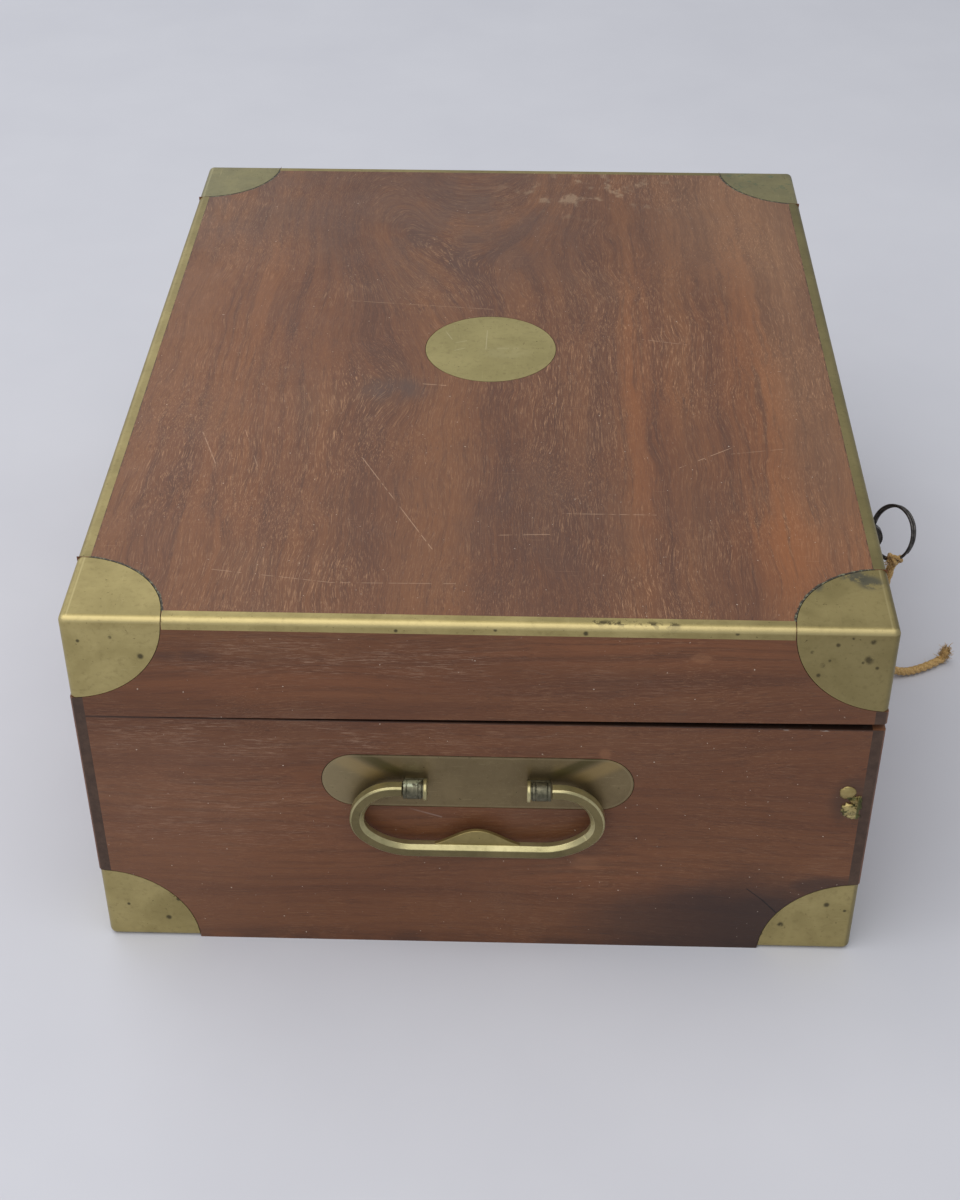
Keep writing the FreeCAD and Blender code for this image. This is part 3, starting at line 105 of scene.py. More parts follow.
def softbox(name, at, size, power, tint):
    """A flat lamp that faces the box."""
    lamp = bpy.data.lights.new(name, "AREA")
    lamp.shape = "RECTANGLE"
    lamp.size, lamp.size_y = size
    lamp.energy = power
    lamp.color = tint
    stand = bpy.data.objects.new(name, lamp)
    stand.location = at
    stand.rotation_euler = (Vector(LAMPS_FACE) - Vector(at)).to_track_quat("-Z", "Y").to_euler()
    bpy.context.collection.objects.link(stand)


for lamp_facts in SOFTBOXES:
    softbox(*lamp_facts)


# ---------------------------------------------------------------- the way a finish is made
class Value:
    """A number that varies over a surface. Each sum with it adds a Math node."""

    def __init__(self, finish, socket):
        self.finish = finish
        self.socket = socket

    def maths(self, operation, *numbers):
        sockets = dict(enumerate(numbers))
        return self.finish.value("ShaderNodeMath", {"operation": operation}, sockets)

    def __add__(self, other):
        return self.maths("ADD", self, other)

    def __radd__(self, other):
        return self.maths("ADD", other, self)

    def __sub__(self, other):
        return self.maths("SUBTRACT", self, other)

    def __rsub__(self, other):
        return self.maths("SUBTRACT", other, self)

    def __mul__(self, other):
        return self.maths("MULTIPLY", self, other)

    def __rmul__(self, other):
        return self.maths("MULTIPLY", other, self)

    def __truediv__(self, other):
        return self.maths("DIVIDE", self, other)

    def __pow__(self, other):
        return self.maths("POWER", self, other)

    def size(self):
        return self.maths("ABSOLUTE", self)

    def most(self, other):
        return self.maths("MAXIMUM", self, other)

    def least(self, other):
        return self.maths("MINIMUM", self, other)

    def sine(self):
        return self.maths("SINE", self)

    def power_of_e(self):
        return self.maths("EXPONENT", self)

    def fade(self, nought, full):
        """0 where this is nought and 1 where it is full, smooth between."""
        sockets = {0: self, 1: nought, 2: full, 3: 0.0, 4: 1.0}
        settings = {"interpolation_type": "SMOOTHSTEP"}
        return self.finish.value("ShaderNodeMapRange", settings, sockets)


class Finish:
    """A material in the making. Its x, y and z are the piece's own, in millimetres."""

    def __init__(self, name):
        self.material = bpy.data.materials.new(name)
        self.material.use_nodes = True
        self.tree = self.material.node_tree
        self.tree.nodes.clear()
        place = self.add("ShaderNodeTexCoord").outputs["Object"]
        parts = self.add("ShaderNodeSeparateXYZ", {}, {0: place})
        self.x, self.y, self.z = (Value(self, out) / MM for out in parts.outputs)

    def add(self, kind, settings=None, sockets=None):
        """A node of that kind, with its settings, then its sockets' values or links."""
        node = self.tree.nodes.new(kind)
        for name, setting in (settings or {}).items():
            setattr(node, name, setting)
        for name, given in (sockets or {}).items():
            if isinstance(given, Value):
                given = given.socket
            if isinstance(given, bpy.types.NodeSocket):
                self.tree.links.new(given, node.inputs[name])
            else:
                node.inputs[name].default_value = given
        return node

    def value(self, kind, settings, sockets):
        return Value(self, self.add(kind, settings, sockets).outputs[0])

    def spot(self, x, y, z):
        """A place put together from three numbers."""
        return self.add("ShaderNodeCombineXYZ", {}, {0: x, 1: y, 2: z}).outputs[0]

    def noise(self, per_mm, detail, roughness, twist=0.0, at=None):
        """Noise with so many waves to the millimetre, in all directions or along x, y and z."""
        if isinstance(per_mm, float):
            per_mm = (per_mm, per_mm, per_mm)
        where = at or self.spot(self.x, self.y, self.z)
        scaled = self.add("ShaderNodeVectorMath", {"operation": "MULTIPLY"}, {0: where, 1: per_mm})
        sockets = {
            "Vector": scaled.outputs[0],
            "Scale": 1.0,
            "Detail": detail,
            "Roughness": roughness,
            "Distortion": twist,
        }
        return self.value("ShaderNodeTexNoise", {}, sockets)

    def mix(self, share, first, second):
        """The first colour with a share of the second mixed in."""
        mixed = self.add("ShaderNodeMix", {"data_type": "RGBA"}, {0: share, 6: first, 7: second})
        return mixed.outputs[2]

    def patch(self, u, v, middle, radius, soft=1.0):
        """1 inside a round or oval patch, 0 outside it."""
        across = (u - middle[0]) / radius[0]
        along = (v - middle[1]) / radius[1]
        far = (across * across + along * along) ** 0.5
        return far.fade(1.0 + soft / 2, 1.0 - soft / 2)

    def swell(self, u, v, middle, reach):
        """1 in the middle of a round or oval swell that dies away on all sides."""
        across = (u - middle[0]) / reach[0]
        along = (v - middle[1]) / reach[1]
        return ((across * across + along * along) * -1.0).power_of_e()

    def scratch(self, u, v, start, end, width):
        """1 along a straight scratch, 0 beside it."""
        du, dv = end[0] - start[0], end[1] - start[1]
        near = u - start[0]
        beside = v - start[1]
        share = ((near * du + beside * dv) / (du * du + dv * dv)).most(0.0).least(1.0)
        off_u = near - share * du
        off_v = beside - share * dv
        return ((off_u * off_u + off_v * off_v) ** 0.5).fade(width, 0.0)

    def surface(self, base, roughness, bump=None, depth=0.1, **fixed):
        """Ends the material: a shader with its colour, roughness, relief and fixed sockets."""
        sockets = {"Base Color": base, "Roughness": roughness}
        for name, number in fixed.items():
            sockets[name.replace("_", " ")] = number
        if bump is not None:
            settings = {0: 1.0, 1: depth * MM}
            relief = self.add("ShaderNodeBump", {}, settings)
            self.tree.links.new(bump.socket, relief.inputs["Height"])
            sockets["Normal"] = relief.outputs[0]
        shader = self.add("ShaderNodeBsdfPrincipled", {}, sockets)
        self.add("ShaderNodeOutputMaterial", {}, {0: shader.outputs[0]})
        return self.material


# ---------------------------------------------------------------- wood
DARK_BROWN = colour(75, 49, 39)
END_TONES = (colour(83, 50, 33), colour(101, 61, 37), colour(114, 72, 44))
LONG_TONES = (*END_TONES[:2], colour(115, 73, 45))
INNER_TONES = (colour(96, 62, 42), colour(134, 92, 62), colour(156, 112, 78))
PORE_BROWN = colour(58, 38, 32)
FLECK_TAN = colour(178, 138, 104)
HAZE_TAN = colour(122, 94, 72)

# How the grain strays: its waves to the millimetre across, along and up, and how far it goes.
WANDER = ((0.011, 0.004, 0.011), 30.0)
RIPPLE = ((0.06, 0.03, 0.06), 6.5)
RISE = ((0.009, 0.005, 0.02), 30.0)
# For each figure: its name, its waves to the millimetre, its detail and its roughness.
GRAIN_FIGURES = (
    ("bands", (0.05, 0.0015, 0.05), 3.0, 0.55),
    ("streaks", (0.38, 0.006, 0.38), 4.0, 0.6),
    ("lines", (1.5, 0.035, 1.5), 4.0, 0.7),
    ("pores", (2.4, 0.16, 2.4), 2.0, 0.6),
)
FLECK_FIGURE = ((4.0, 0.12, 4.0), 4.0, 0.76)
# For each layer: its figure, where that is nought and full, the layer's share and its tone.
GRAIN_LAYERS = (
    ("bands", 0.38, 0.66, 0.85, "light"),
    ("bands", 0.48, 0.28, 0.42, "dark"),
    ("streaks", 0.54, 0.34, 0.36, "dark"),
    ("streaks", 0.54, 0.7, 0.3, "light"),
    ("lines", 0.5, 0.3, 0.44, "dark"),
    ("lines", 0.52, 0.7, 0.35, "light"),
    ("pores", 0.6, 0.72, 0.4, "pores"),
)


def grained(finish, along, swirls=(), figure=None):
    """Mahogany's stripes, lines and pores, with the grain along x or y and round any swirls."""
    x, y, z = finish.x, finish.y, finish.z
    if along == "x":
        x, y = y, x
    place = finish.spot(x, y, z)

    def stray(per_mm, far):
        return (finish.noise(per_mm, 2.0, 0.5, at=place) - 0.5) * far

    side = x + stray(*WANDER) + stray(*RIPPLE)
    up = z + stray(*RISE)
    for middle, reach, push in swirls:
        side = side + finish.swell(x, y, middle, reach) * push
    if figure:
        middle, reach, curve, start = figure
        inside = (finish.swell(x, y, middle, reach) * 1.7).least(1.0)
        across = side - middle[0]
        bowed = across * across / curve - y + start
        side = side + (bowed - side) * inside
    where = finish.spot(side, y, up)
    grain = {}
    for name, per_mm, detail, roughness in GRAIN_FIGURES:
        grain[name] = finish.noise(per_mm, detail, roughness, at=where)
    elsewhere = finish.spot(side + 40.0, y + 90.0, up)
    grain["flecks"] = finish.noise(*FLECK_FIGURE, at=elsewhere)
    return grain


def mahogany(name, along, dark, middle, light, fleck=0.5, swirls=(), marks=None, figure=None):
    """Old polished mahogany. The marks add what has happened to one board, and on the ends painted shade in
    the seam.
    """
    finish = Finish(name)
    grain = grained(finish, along, swirls, figure)
    tones = {"dark": dark, "light": light, "pores": PORE_BROWN}
    base = middle
    for layer, nought, full, share, tone in GRAIN_LAYERS:
        base = finish.mix(grain[layer].fade(nought, full) * share, base, tones[tone])
    rubbed_and_highlight = finish.noise((0.018, 0.012, 0.018), 4.0, 0.65).fade(0.36, 0.62) * 0.7 + 0.3
    tips = grain["flecks"].fade(0.52, 0.66) * rubbed_and_highlight
    base = finish.mix(tips * fleck, base, FLECK_TAN)
    haze = finish.noise((0.02, 0.013, 0.02), 4.0, 0.6)
    base = finish.mix(haze.fade(0.5, 0.75) * 0.2, base, HAZE_TAN)
    roughness = finish.noise(0.05, 3.0, 0.6) * 0.24 + 0.36
    relief = grain["lines"] * 0.5 - grain["pores"].fade(0.6, 0.72) * 0.7
    if marks:
        base, roughness, relief = marks(finish, grain, base, roughness, relief)
    return finish.surface(base, roughness, relief, 0.05, Specular_IOR_Level=0.36)


LID_SHADE = colour(82, 66, 60)
LID_GLOW = colour(142, 86, 48)
LID_BLOOM = colour(150, 116, 88)
LID_SCRATCH = colour(196, 164, 136)
LID_HAIRLINE = colour(186, 150, 120)
LID_CHALK = colour(168, 148, 124)
LID_DUST = colour(214, 198, 180)
GAP_BLACK = colour(52, 46, 38)
GAP_FILLER = colour(132, 134, 108)
EDGE_GRIME = colour(44, 36, 28)
CHALK_PLACE = ((44.0, 152.0), (38.0, 24.0))

# For each swirl: its middle, its reach and how far it pushes the grain aside.
LID_SWIRLS = (
    ((-38.0, -24.0), (15.0, 22.0), -8.0),
    ((-70.0, 12.0), (26.0, 44.0), 7.0),
)
# The arched figure's middle and reach, the bend of its arches and where along y they start.
LID_FIGURE = ((-14.0, 150.0), (36.0, 66.0), 26.0, 96.0)
# For each tone: its middle, its reach and its share.
LID_WARM = (
    ((62.0, -40.0), (9.0, 90.0), 0.5),
    ((104.0, -30.0), (18.0, 130.0), 0.34),
    ((112.0, -134.0), (20.0, 28.0), 0.42),
    ((-88.0, -20.0), (30.0, 120.0), 0.2),
)
LID_DIM = (
    ((-16.0, 120.0), (46.0, 62.0), 0.42),
    ((-37.0, -28.0), (12.0, 8.0), 0.74),
    ((-108.0, 140.0), (40.0, 50.0), 0.3),
    ((20.0, -120.0), (60.0, 40.0), 0.2),
)
LID_HAZY = (
    ((112.0, 128.0), (34.0, 64.0), 0.26),
    ((126.0, -10.0), (14.0, 120.0), 0.22),
)
# For each scratch: its start, its end and its width.
LID_SCRATCHES = (
    ((-46.0, -78.0), (-17.0, -136.0), 0.26),
    ((-92.0, -150.0), (-50.0, -156.5), 0.2),
    ((-50.0, -156.5), (-8.0, -156.0), 0.2),
    ((62.0, 14.0), (80.0, 10.0), 0.25),
    ((72.0, -82.0), (92.0, -68.0), 0.28),
    ((92.0, -72.0), (112.0, -68.0), 0.16),
    ((28.0, -113.0), (62.0, -113.0), 0.24),
    ((6.0, -127.0), (24.0, -126.0), 0.24),
    ((-108.0, -62.0), (-100.0, -84.0), 0.3),
    ((-60.0, 44.0), (0.0, 38.0), 0.18),
    ((-26.0, -24.0), (-17.0, -25.0), 0.4),
    ((-92.0, -60.0), (-84.0, -86.0), 0.18),
)


def lid_marks(finish, grain, base, roughness, relief):
    """The tones, scratches and specks of the lid's panel, and the gap round its corner brasses."""
    x, y = finish.x, finish.y
    blots = finish.noise((0.06, 0.03, 0.06), 4.0, 0.65)
    for middle, reach, share in LID_DIM:
        dim = finish.patch(x, y, middle, reach, 1.4) * blots.fade(0.3, 0.6)
        base = finish.mix(dim * share, base, LID_SHADE)
    warm = grain["bands"].fade(0.4, 0.6)
    for middle, reach, share in LID_WARM:
        glow = finish.patch(x, y, middle, reach, 1.5) * (warm * 0.6 + 0.4)
        base = finish.mix(glow * grain["streaks"].fade(0.3, 0.56) * share, base, LID_GLOW)
    for middle, reach, share in LID_HAZY:
        pale = finish.patch(x, y, middle, reach, 1.5) * (grain["streaks"] + 0.5)
        base = finish.mix(pale * share, base, LID_BLOOM)
    broken = finish.noise(0.3, 2.0, 0.5).fade(0.36, 0.5)
    for start, end, width in LID_SCRATCHES:
        scratch = finish.scratch(x, y, start, end, width) * broken
        base = finish.mix(scratch * 0.54, base, LID_SCRATCH)
    hairs = finish.noise((0.05, 2.6, 0.05), 3.0, 0.6, 0.4).fade(0.66, 0.74) * blots.fade(0.48, 0.6)
    base = finish.mix(hairs * 0.3, base, LID_HAIRLINE)
    spatter = finish.noise((0.13, 0.1, 0.13), 3.0, 0.6)
    chalk = finish.patch(x, y, *CHALK_PLACE, 1.2) * spatter.fade(0.55, 0.68)
    base = finish.mix(chalk * 0.37, base, LID_CHALK)
    dust = finish.noise(1.1, 1.0, 0.4).fade(0.785, 0.81)
    base = finish.mix(dust * 0.7, base, LID_DUST)
    side = HALF_DEPTH - x.size()
    end = HALF_LENGTH - y.size()
    far = (side * side + end * end) ** 0.5
    lip = finish.noise(0.35, 3.0, 0.6) * 1.5
    gap = (far - lip).fade(*CORNER_EDGE)
    filler = finish.noise(0.8, 2.0, 0.6).fade(0.5, 0.62)
    base = finish.mix(gap, base, finish.mix(filler * 0.6, GAP_BLACK, GAP_FILLER))
    along_edge = side.fade(5.5, 5.0) * finish.noise((0.6, 0.3, 0.6), 3.0, 0.7).fade(0.4, 0.6)
    base = finish.mix(along_edge * 0.8, base, EDGE_GRIME)
    return base, roughness + chalk * 0.3, relief


STAIN_BROWN = colour(50, 37, 34)
FOOT_BROWN = colour(52, 38, 34)
CRACK_BLACK = colour(22, 15, 14)
END_DUST = colour(206, 190, 172)
END_SCUFF = colour(178, 146, 122)
END_GLOW = colour(136, 84, 52)
END_BARE = colour(146, 100, 68)
KNOT_BROWN = colour(62, 42, 36)
END_FADED = colour(142, 104, 82)
BRUSHED = colour(170, 150, 140)
BRUISE_BROWN = colour(60, 44, 34)
RIM_CHIP = colour(180, 172, 162)
SEAM_SHADE = colour(38, 26, 22)
INSIDE_SEAM_SHADE = colour(30, 20, 17)
STAIN_RING = ((128.0, 33.0), (16.0, 5.0))
CRACK_LINES = (((99.0, 31.5), (105.0, 26.0), 0.35), ((105.0, 26.0), (112.0, 18.0), 0.5))
KNOT_PLACE = ((-99.0, 137.0), (13.0, 2.6))
BRUSHED_LINE = ((-24.5, 69.0), (-13.0, 65.0), 0.5)
BRUISE_PLACE = ((132.2, 76.0), (7.0, 11.0))

# For each mark below: its middle along x and z, its reach and its share.
END_SCUFFS = (
    ((-50.0, 137.0), (62.0, 8.0), 0.6),
    ((-84.0, 101.0), (66.0, 9.0), 0.6),
    ((-92.0, 64.0), (44.0, 16.0), 0.5),
    ((-10.0, 104.0), (60.0, 4.0), 0.26),
    ((30.0, 128.0), (60.0, 10.0), 0.2),
)
END_WARM = (
    ((60.0, 143.0), (60.0, 7.0), 0.4),
    ((-70.0, 126.0), (60.0, 7.0), 0.3),
    ((-70.0, 62.0), (70.0, 26.0), 0.2),
    ((40.0, 40.0), (40.0, 10.0), 0.3),
)
END_PALE = (
    ((74.8, 139.8), (3.4, 2.0), 0.8),
    ((44.5, 96.5), (2.0, 2.4), 0.7),
    ((39.0, 43.0), (5.0, 3.4), 0.7),
)


def end_marks(finish, grain, base, roughness, relief):
    """The stain, crack, scuffs and specks of the left end, and painted shade in the seam between lid and
    base.
    """
    x, z = finish.x, finish.z
    left = finish.y.fade(*LEFT_WOOD)
    cloud = finish.noise((0.05, 0.05, 0.06), 4.0, 0.6)
    reach = (z - 17.0).most(0.0) / 20.0 + ((x - 96.0) / 58.0).size() ** 2.0
    stain = (reach + (cloud - 0.5) * 0.8).fade(1.6, 0.25) * left
    ring = finish.patch(x, z, *STAIN_RING, 0.8)
    stain = (stain * (x.fade(40.0, 104.0) * 0.35 + 0.65)).most(ring * left * 0.8)
    base = finish.mix(stain * 0.86, base, STAIN_BROWN)
    low = z.fade(10.0, 0.0) * cloud.fade(0.4, 0.6) * left
    base = finish.mix(low * 0.4, base, FOOT_BROWN)
    upper, lower = (finish.scratch(x, z, *line) for line in CRACK_LINES)
    crack = upper.most(lower) * left
    base = finish.mix(crack, base, CRACK_BLACK)
    dust = finish.noise(0.9, 1.0, 0.4).fade(0.8, 0.815)
    base = finish.mix(dust * 0.75, base, END_DUST)
    worn = finish.noise((0.04, 0.04, 0.12), 3.0, 0.6).fade(0.36, 0.56)
    scuffs = finish.noise((0.17, 0.17, 3.8), 4.0, 0.76).fade(0.52, 0.66)
    for middle, reach, share in END_SCUFFS:
        rubbed_and_highlight = finish.patch(x, z, middle, reach, 1.2) * worn * scuffs * left
        base = finish.mix(rubbed_and_highlight * share, base, END_SCUFF)
    for middle, reach, share in END_WARM:
        glow = finish.patch(x, z, middle, reach, 1.3) * grain["streaks"].fade(0.3, 0.56) * left
        base = finish.mix(glow * share, base, END_GLOW)
    for middle, reach, share in END_PALE:
        spot = finish.patch(x, z, middle, reach, 0.8) * scuffs.most(0.5) * left
        base = finish.mix(spot * share, base, END_BARE)
    knot = finish.patch(x, z, *KNOT_PLACE, 1.4) * cloud.fade(0.3, 0.55) * left
    base = finish.mix(knot * 0.5, base, KNOT_BROWN)
    faded = x.fade(-50.0, -110.0) * z.fade(108.0, 96.0) * (cloud * 0.6 + 0.5) * left
    base = finish.mix(faded * 0.2, base, END_FADED)
    brushed = finish.scratch(x, z, *BRUSHED_LINE) * cloud.fade(0.3, 0.6) * left
    base = finish.mix(brushed * 0.4, base, BRUSHED)
    bruise = finish.patch(x, z, *BRUISE_PLACE, 0.9) * cloud.fade(0.3, 0.5) * left
    base = finish.mix(bruise * 0.6, base, BRUISE_BROWN)
    rim = (z - 109.2).size().fade(0.7, 0.2) * x.fade(90.0, 120.0)
    chips = rim * finish.noise((0.3, 0.35, 1.0), 2.0, 0.5).fade(0.6, 0.66) * left
    base = finish.mix(chips * 0.7, base, RIM_CHIP)
    # Painted shade along the seam between lid and base.
    seam_shade = (z - 109.5).size().fade(0.6, 0.25) * (cloud * 0.5 + 0.6) * left
    base = finish.mix(seam_shade * 0.8, base, SEAM_SHADE)
    # Painted shade inside the seam, on the rims of both ends.
    out = finish.y.size()
    inside_seam_shade = out.fade(178.4, 178.1) * out.fade(172.0, 175.5) * (z - 110.8).size().fade(2.2, 1.6)
    base = finish.mix(inside_seam_shade * 0.8, base, INSIDE_SEAM_SHADE)
    return base, roughness, relief - crack


LAP_GRIME = (colour(60, 46, 38), colour(78, 61, 50))


def long_marks(finish, grain, base, roughness, relief):
    """The darker end grain that shows where the front and back lap over the ends."""
    lap = finish.y.size().fade(178.2, 178.45)
    mottle = finish.noise(0.3, 4.0, 0.7)
    grime = finish.mix(mottle.fade(0.3, 0.7), *LAP_GRIME)
    base = finish.mix(lap * 0.9, base, grime)
    return base, roughness + lap * 0.15, relief


LID_TONES = (DARK_BROWN, colour(97, 63, 45), colour(118, 78, 51))
SLOPE_TONES = (DARK_BROWN, colour(110, 68, 48), colour(134, 86, 58))
lid_wood = mahogany("lid_mahogany", "y", *LID_TONES, 0.74, LID_SWIRLS, lid_marks, LID_FIGURE)
end_wood = mahogany("end_mahogany", "x", *END_TONES, 0.3, (), end_marks)
long_wood = mahogany("long_mahogany", "y", *LONG_TONES, 0.35, (), long_marks)
slope_wood = mahogany("slope_mahogany", "y", *SLOPE_TONES)
plain_along_y = mahogany("inner_wood", "y", *INNER_TONES)
plain_along_x = mahogany("inner_cross_wood", "x", *INNER_TONES)


# ---------------------------------------------------------------- brass, steel and the rest
BRASS_MOTTLE = colour(104, 90, 56)
BRASS_SPECK = colour(66, 58, 38)
BRASS_HAIRLINE = colour(214, 198, 150)
METALLIC = 0.8


def brass(name, dull, bright, marks=None, roughness=0.34):
    """Old brass with a patina. The marks add the stains of one piece, and on the trim painted shade and
    highlights.
    """
    finish = Finish(name)
    clouds = finish.noise(0.05, 4.0, 0.6, 0.3)
    mottle = finish.noise(0.5, 4.0, 0.65)
    base = finish.mix(clouds.fade(0.32, 0.7), dull, bright)
    base = finish.mix(mottle.fade(0.5, 0.78) * 0.3, base, BRASS_MOTTLE)
    specks = finish.noise(0.85, 2.0, 0.5).fade(0.7, 0.76)
    base = finish.mix(specks * 0.5, base, BRASS_SPECK)
    hairs = finish.noise((3.4, 0.12, 3.4), 2.0, 0.6).fade(0.64, 0.74)
    hairs = hairs.most(finish.noise((0.14, 3.0, 3.0), 2.0, 0.6).fade(0.66, 0.76))
    base = finish.mix(hairs * 0.22, base, BRASS_HAIRLINE)
    rough = clouds * 0.14 + mottle * 0.1 + (roughness - 0.12) + specks * 0.2
    if marks:
        base, rough = marks(finish, base, rough)
    return finish.surface(base, rough, mottle * 0.4 - hairs * 0.3, 0.02, Metallic=METALLIC)


CREASE_HIGHLIGHT = colour(206, 190, 138)
TARNISH_GREY = colour(88, 92, 88)
SPOT_BROWN = colour(66, 60, 44)
WORN_BROWN = colour(74, 66, 44)
NEAR_LEFT_SHADE = colour(92, 84, 58)
LID_SIDE_SHADE = colour(84, 74, 46)
FACE_SHADE = colour(76, 64, 40)
BASE_SHADE = colour(84, 72, 46)
FRONT_STRIP_SHADE = colour(92, 90, 62)
BACK_STRIP_SHADE = colour(92, 82, 62)
FAR_END_SHADE = colour(84, 80, 52)
TURNED_DARK_REFLECTION = colour(70, 64, 38)
EDGE_HIGHLIGHT = colour(214, 198, 148)
WORN_LINE = ((38.0, -176.0), (66.0, -176.9), 2.2)
TARNISH_PLACES = (
    ((128.0, -148.0), (4.5, 3.2)),
    ((133.0, -151.5), (4.2, 3.8)),
    ((114.5, -153.0), (2.2, 3.6)),
)
# For each spot: its place along x and z, and its radius.
CORNER_SPOTS = (
    (130.5, 140.4, 1.5), (131.0, 148.0, 0.9), (115.2, 137.8, 0.8), (117.4, 139.8, 0.5),
    (111.3, 143.3, 0.6), (119.5, 146.5, 0.7), (124.3, 149.4, 0.5), (114.3, 133.5, 0.7),
    (133.5, 137.0, 0.6), (128.6, 139.2, 0.5), (-112.0, 20.0, 0.8), (-131.0, 17.0, 0.6),
    (113.0, 13.0, 1.1), (129.0, 24.0, 1.0), (106.0, 8.0, 0.8), (136.0, 21.0, 0.6),
    (-113.5, 136.6, 1.0), (-123.0, 144.5, 0.6), (-134.0, 142.8, 0.6), (-116.6, 10.2, 1.0),
    (-96.0, 151.6, 0.9), (-50.0, 151.4, 0.7), (-27.0, 149.4, 0.6), (6.0, 150.4, 0.6),
    (36.0, 149.6, 0.8), (86.0, 150.6, 0.7),
)


def corner_marks(finish, base, rough):
    """Tarnish on the front right corner, dark spots and a worn line; painted highlights on the creases and
    the near edge; painted shade and a dark reflection on duller stretches.
    """
    x, y, z = finish.x, finish.y, finish.z
    edge = finish.noise(0.25, 4.0, 0.7)
    top = z.fade(*ON_TOP)
    # Painted highlight: a bright line along the rounded creases at the sides of the lid's top.
    crease_highlight = (x.size() - 137.0).size().fade(0.45, 0.1) * top * y.size().fade(*OVER_CORNERS)
    base = finish.mix(crease_highlight * 0.7, base, CREASE_HIGHLIGHT)
    for middle, reach in TARNISH_PLACES:
        blot = finish.patch(x, y, middle, reach, 0.9) * edge.fade(0.36, 0.5) * top
        base = finish.mix(blot * 0.85, base, TARNISH_GREY)
        rough = rough + blot * 0.2
    face = y.fade(*ON_LEFT_BRASS)
    for u, v, radius in CORNER_SPOTS:
        blot = finish.patch(x, z, (u, v), (radius, radius * 1.1)) * face
        base = finish.mix(blot * edge.fade(0.3, 0.5) * 0.85, base, SPOT_BROWN)
    worn = finish.scratch(x, y, *WORN_LINE) * edge.fade(0.48, 0.57)
    base = finish.mix(worn * 0.9, base, WORN_BROWN)
    # Painted shade on the top of the near left corner brass.
    near_left_shade = x.fade(-100.0, -106.0) * y.fade(-138.0, -143.0) * top
    base = finish.mix(near_left_shade * 0.16, base, NEAR_LEFT_SHADE)
    lid_part = z.fade(36.0, 60.0)
    # Painted shade: the lid's brass grows darker towards its right side.
    base = finish.mix(x.fade(20.0, 140.0) * lid_part * 0.36, base, LID_SIDE_SHADE)
    # Painted shade on the near face of the lid's brass, darker towards the right.
    base = finish.mix(face * x.fade(60.0, 140.0) * lid_part * 0.2, base, FACE_SHADE)
    # Painted shade on the base's corner brasses, lower down.
    base = finish.mix(z.fade(60.0, 36.0) * 0.1, base, BASE_SHADE)
    # Painted shade on the edging strip along the front side, on the right of the lid.
    front_strip_shade = x.fade(134.4, 135.2) * y.size().fade(*BETWEEN_CORNERS)
    base = finish.mix(front_strip_shade * 0.34, base, FRONT_STRIP_SHADE)
    # Painted shade: the brass grows darker towards the far end.
    base = finish.mix(y.fade(60.0, 176.0) * 0.4, base, FAR_END_SHADE)
    # Painted shade on the edging strip along the back side, on the left of the lid.
    back_strip_shade = x.fade(-134.4, -135.2) * y.size().fade(*BETWEEN_CORNERS)
    base = finish.mix(back_strip_shade * 0.24, base, BACK_STRIP_SHADE)
    # Painted dark reflection on the rounded edge that turns down the right side.
    turned_dark_reflection = x.fade(137.6, 138.8) * y.size().fade(*OVER_CORNERS)
    base = finish.mix(turned_dark_reflection * 0.4, base, TURNED_DARK_REFLECTION)
    # Painted highlight along the round of the near top edge.
    rubbed_and_highlight = z.fade(150.2, 151.0) * y.fade(-175.8, -176.8) * z.fade(152.4, 152.1)
    base = finish.mix(rubbed_and_highlight * 0.35, base, EDGE_HIGHLIGHT)
    return base, rough + z.fade(147.0, 149.0) * 0.1


# Where the rubbed bands start, from the plate's middle, and which way they lean.
BAND_START = (27.0, 4.0)
BAND_LEAN = (0.85, 0.52)
PLATE_STRAIGHT = PLATE_HIGH[0] - (PLATE_HIGH[2] - PLATE_LOW[2]) / 2
BAND_DARK = colour(74, 68, 36)
BAND_RUBBED = colour(164, 140, 92)
PLATE_PALE = colour(160, 146, 112)
PLATE_RIM = colour(150, 136, 104)
VERDIGRIS = colour(62, 74, 44)


def swing_marks(finish, base, rough):
    """A dark band and a rubbed band along the handle's swing on its plate, and the plate's worn rim."""
    x, z = finish.x.size(), finish.z - HANDLE_HEIGHT
    beside = (z - BAND_START[1]) * BAND_LEAN[0] - (x - BAND_START[0]) * BAND_LEAN[1]
    along = (x - BAND_START[0]) * BAND_LEAN[0] + (z - BAND_START[1]) * BAND_LEAN[1]
    near = along.fade(-5.0, 3.0)
    # Darker along a band beside the handle's swing.
    dark = beside.fade(-3.4, -0.8) * beside.fade(2.6, 0.6) * near
    base = finish.mix(dark * 0.7, base, BAND_DARK)
    rub = beside.fade(-10.5, -7.0) * beside.fade(-2.2, -4.6) * z.fade(-3.0, 3.0) * along.fade(2.0, 8.0)
    base = finish.mix(rub * 0.55, base, BAND_RUBBED)
    out = (x - PLATE_STRAIGHT).most(0.0)
    far = (out * out + z * z) ** 0.5
    pale_end = finish.x.fade(-34.0, -52.0) * finish.y.fade(*LEFT_METAL)
    base = finish.mix(pale_end * 0.5, base, PLATE_PALE)
    rim = far.fade(10.9, 11.3) * far.fade(11.8, 11.5)
    base = finish.mix(rim * 0.35, base, PLATE_RIM)
    return base, rough


def stub_marks(finish, base, rough):
    """Green corrosion in the hollows of the broken stubs."""
    green = finish.noise(0.35, 3.0, 0.6).fade(0.52, 0.62).most(finish.x.fade(133.8, 134.6))
    green = green * finish.z.fade(79.5, 78.0)
    return finish.mix(green * 0.8, base, VERDIGRIS), rough + green * 0.2


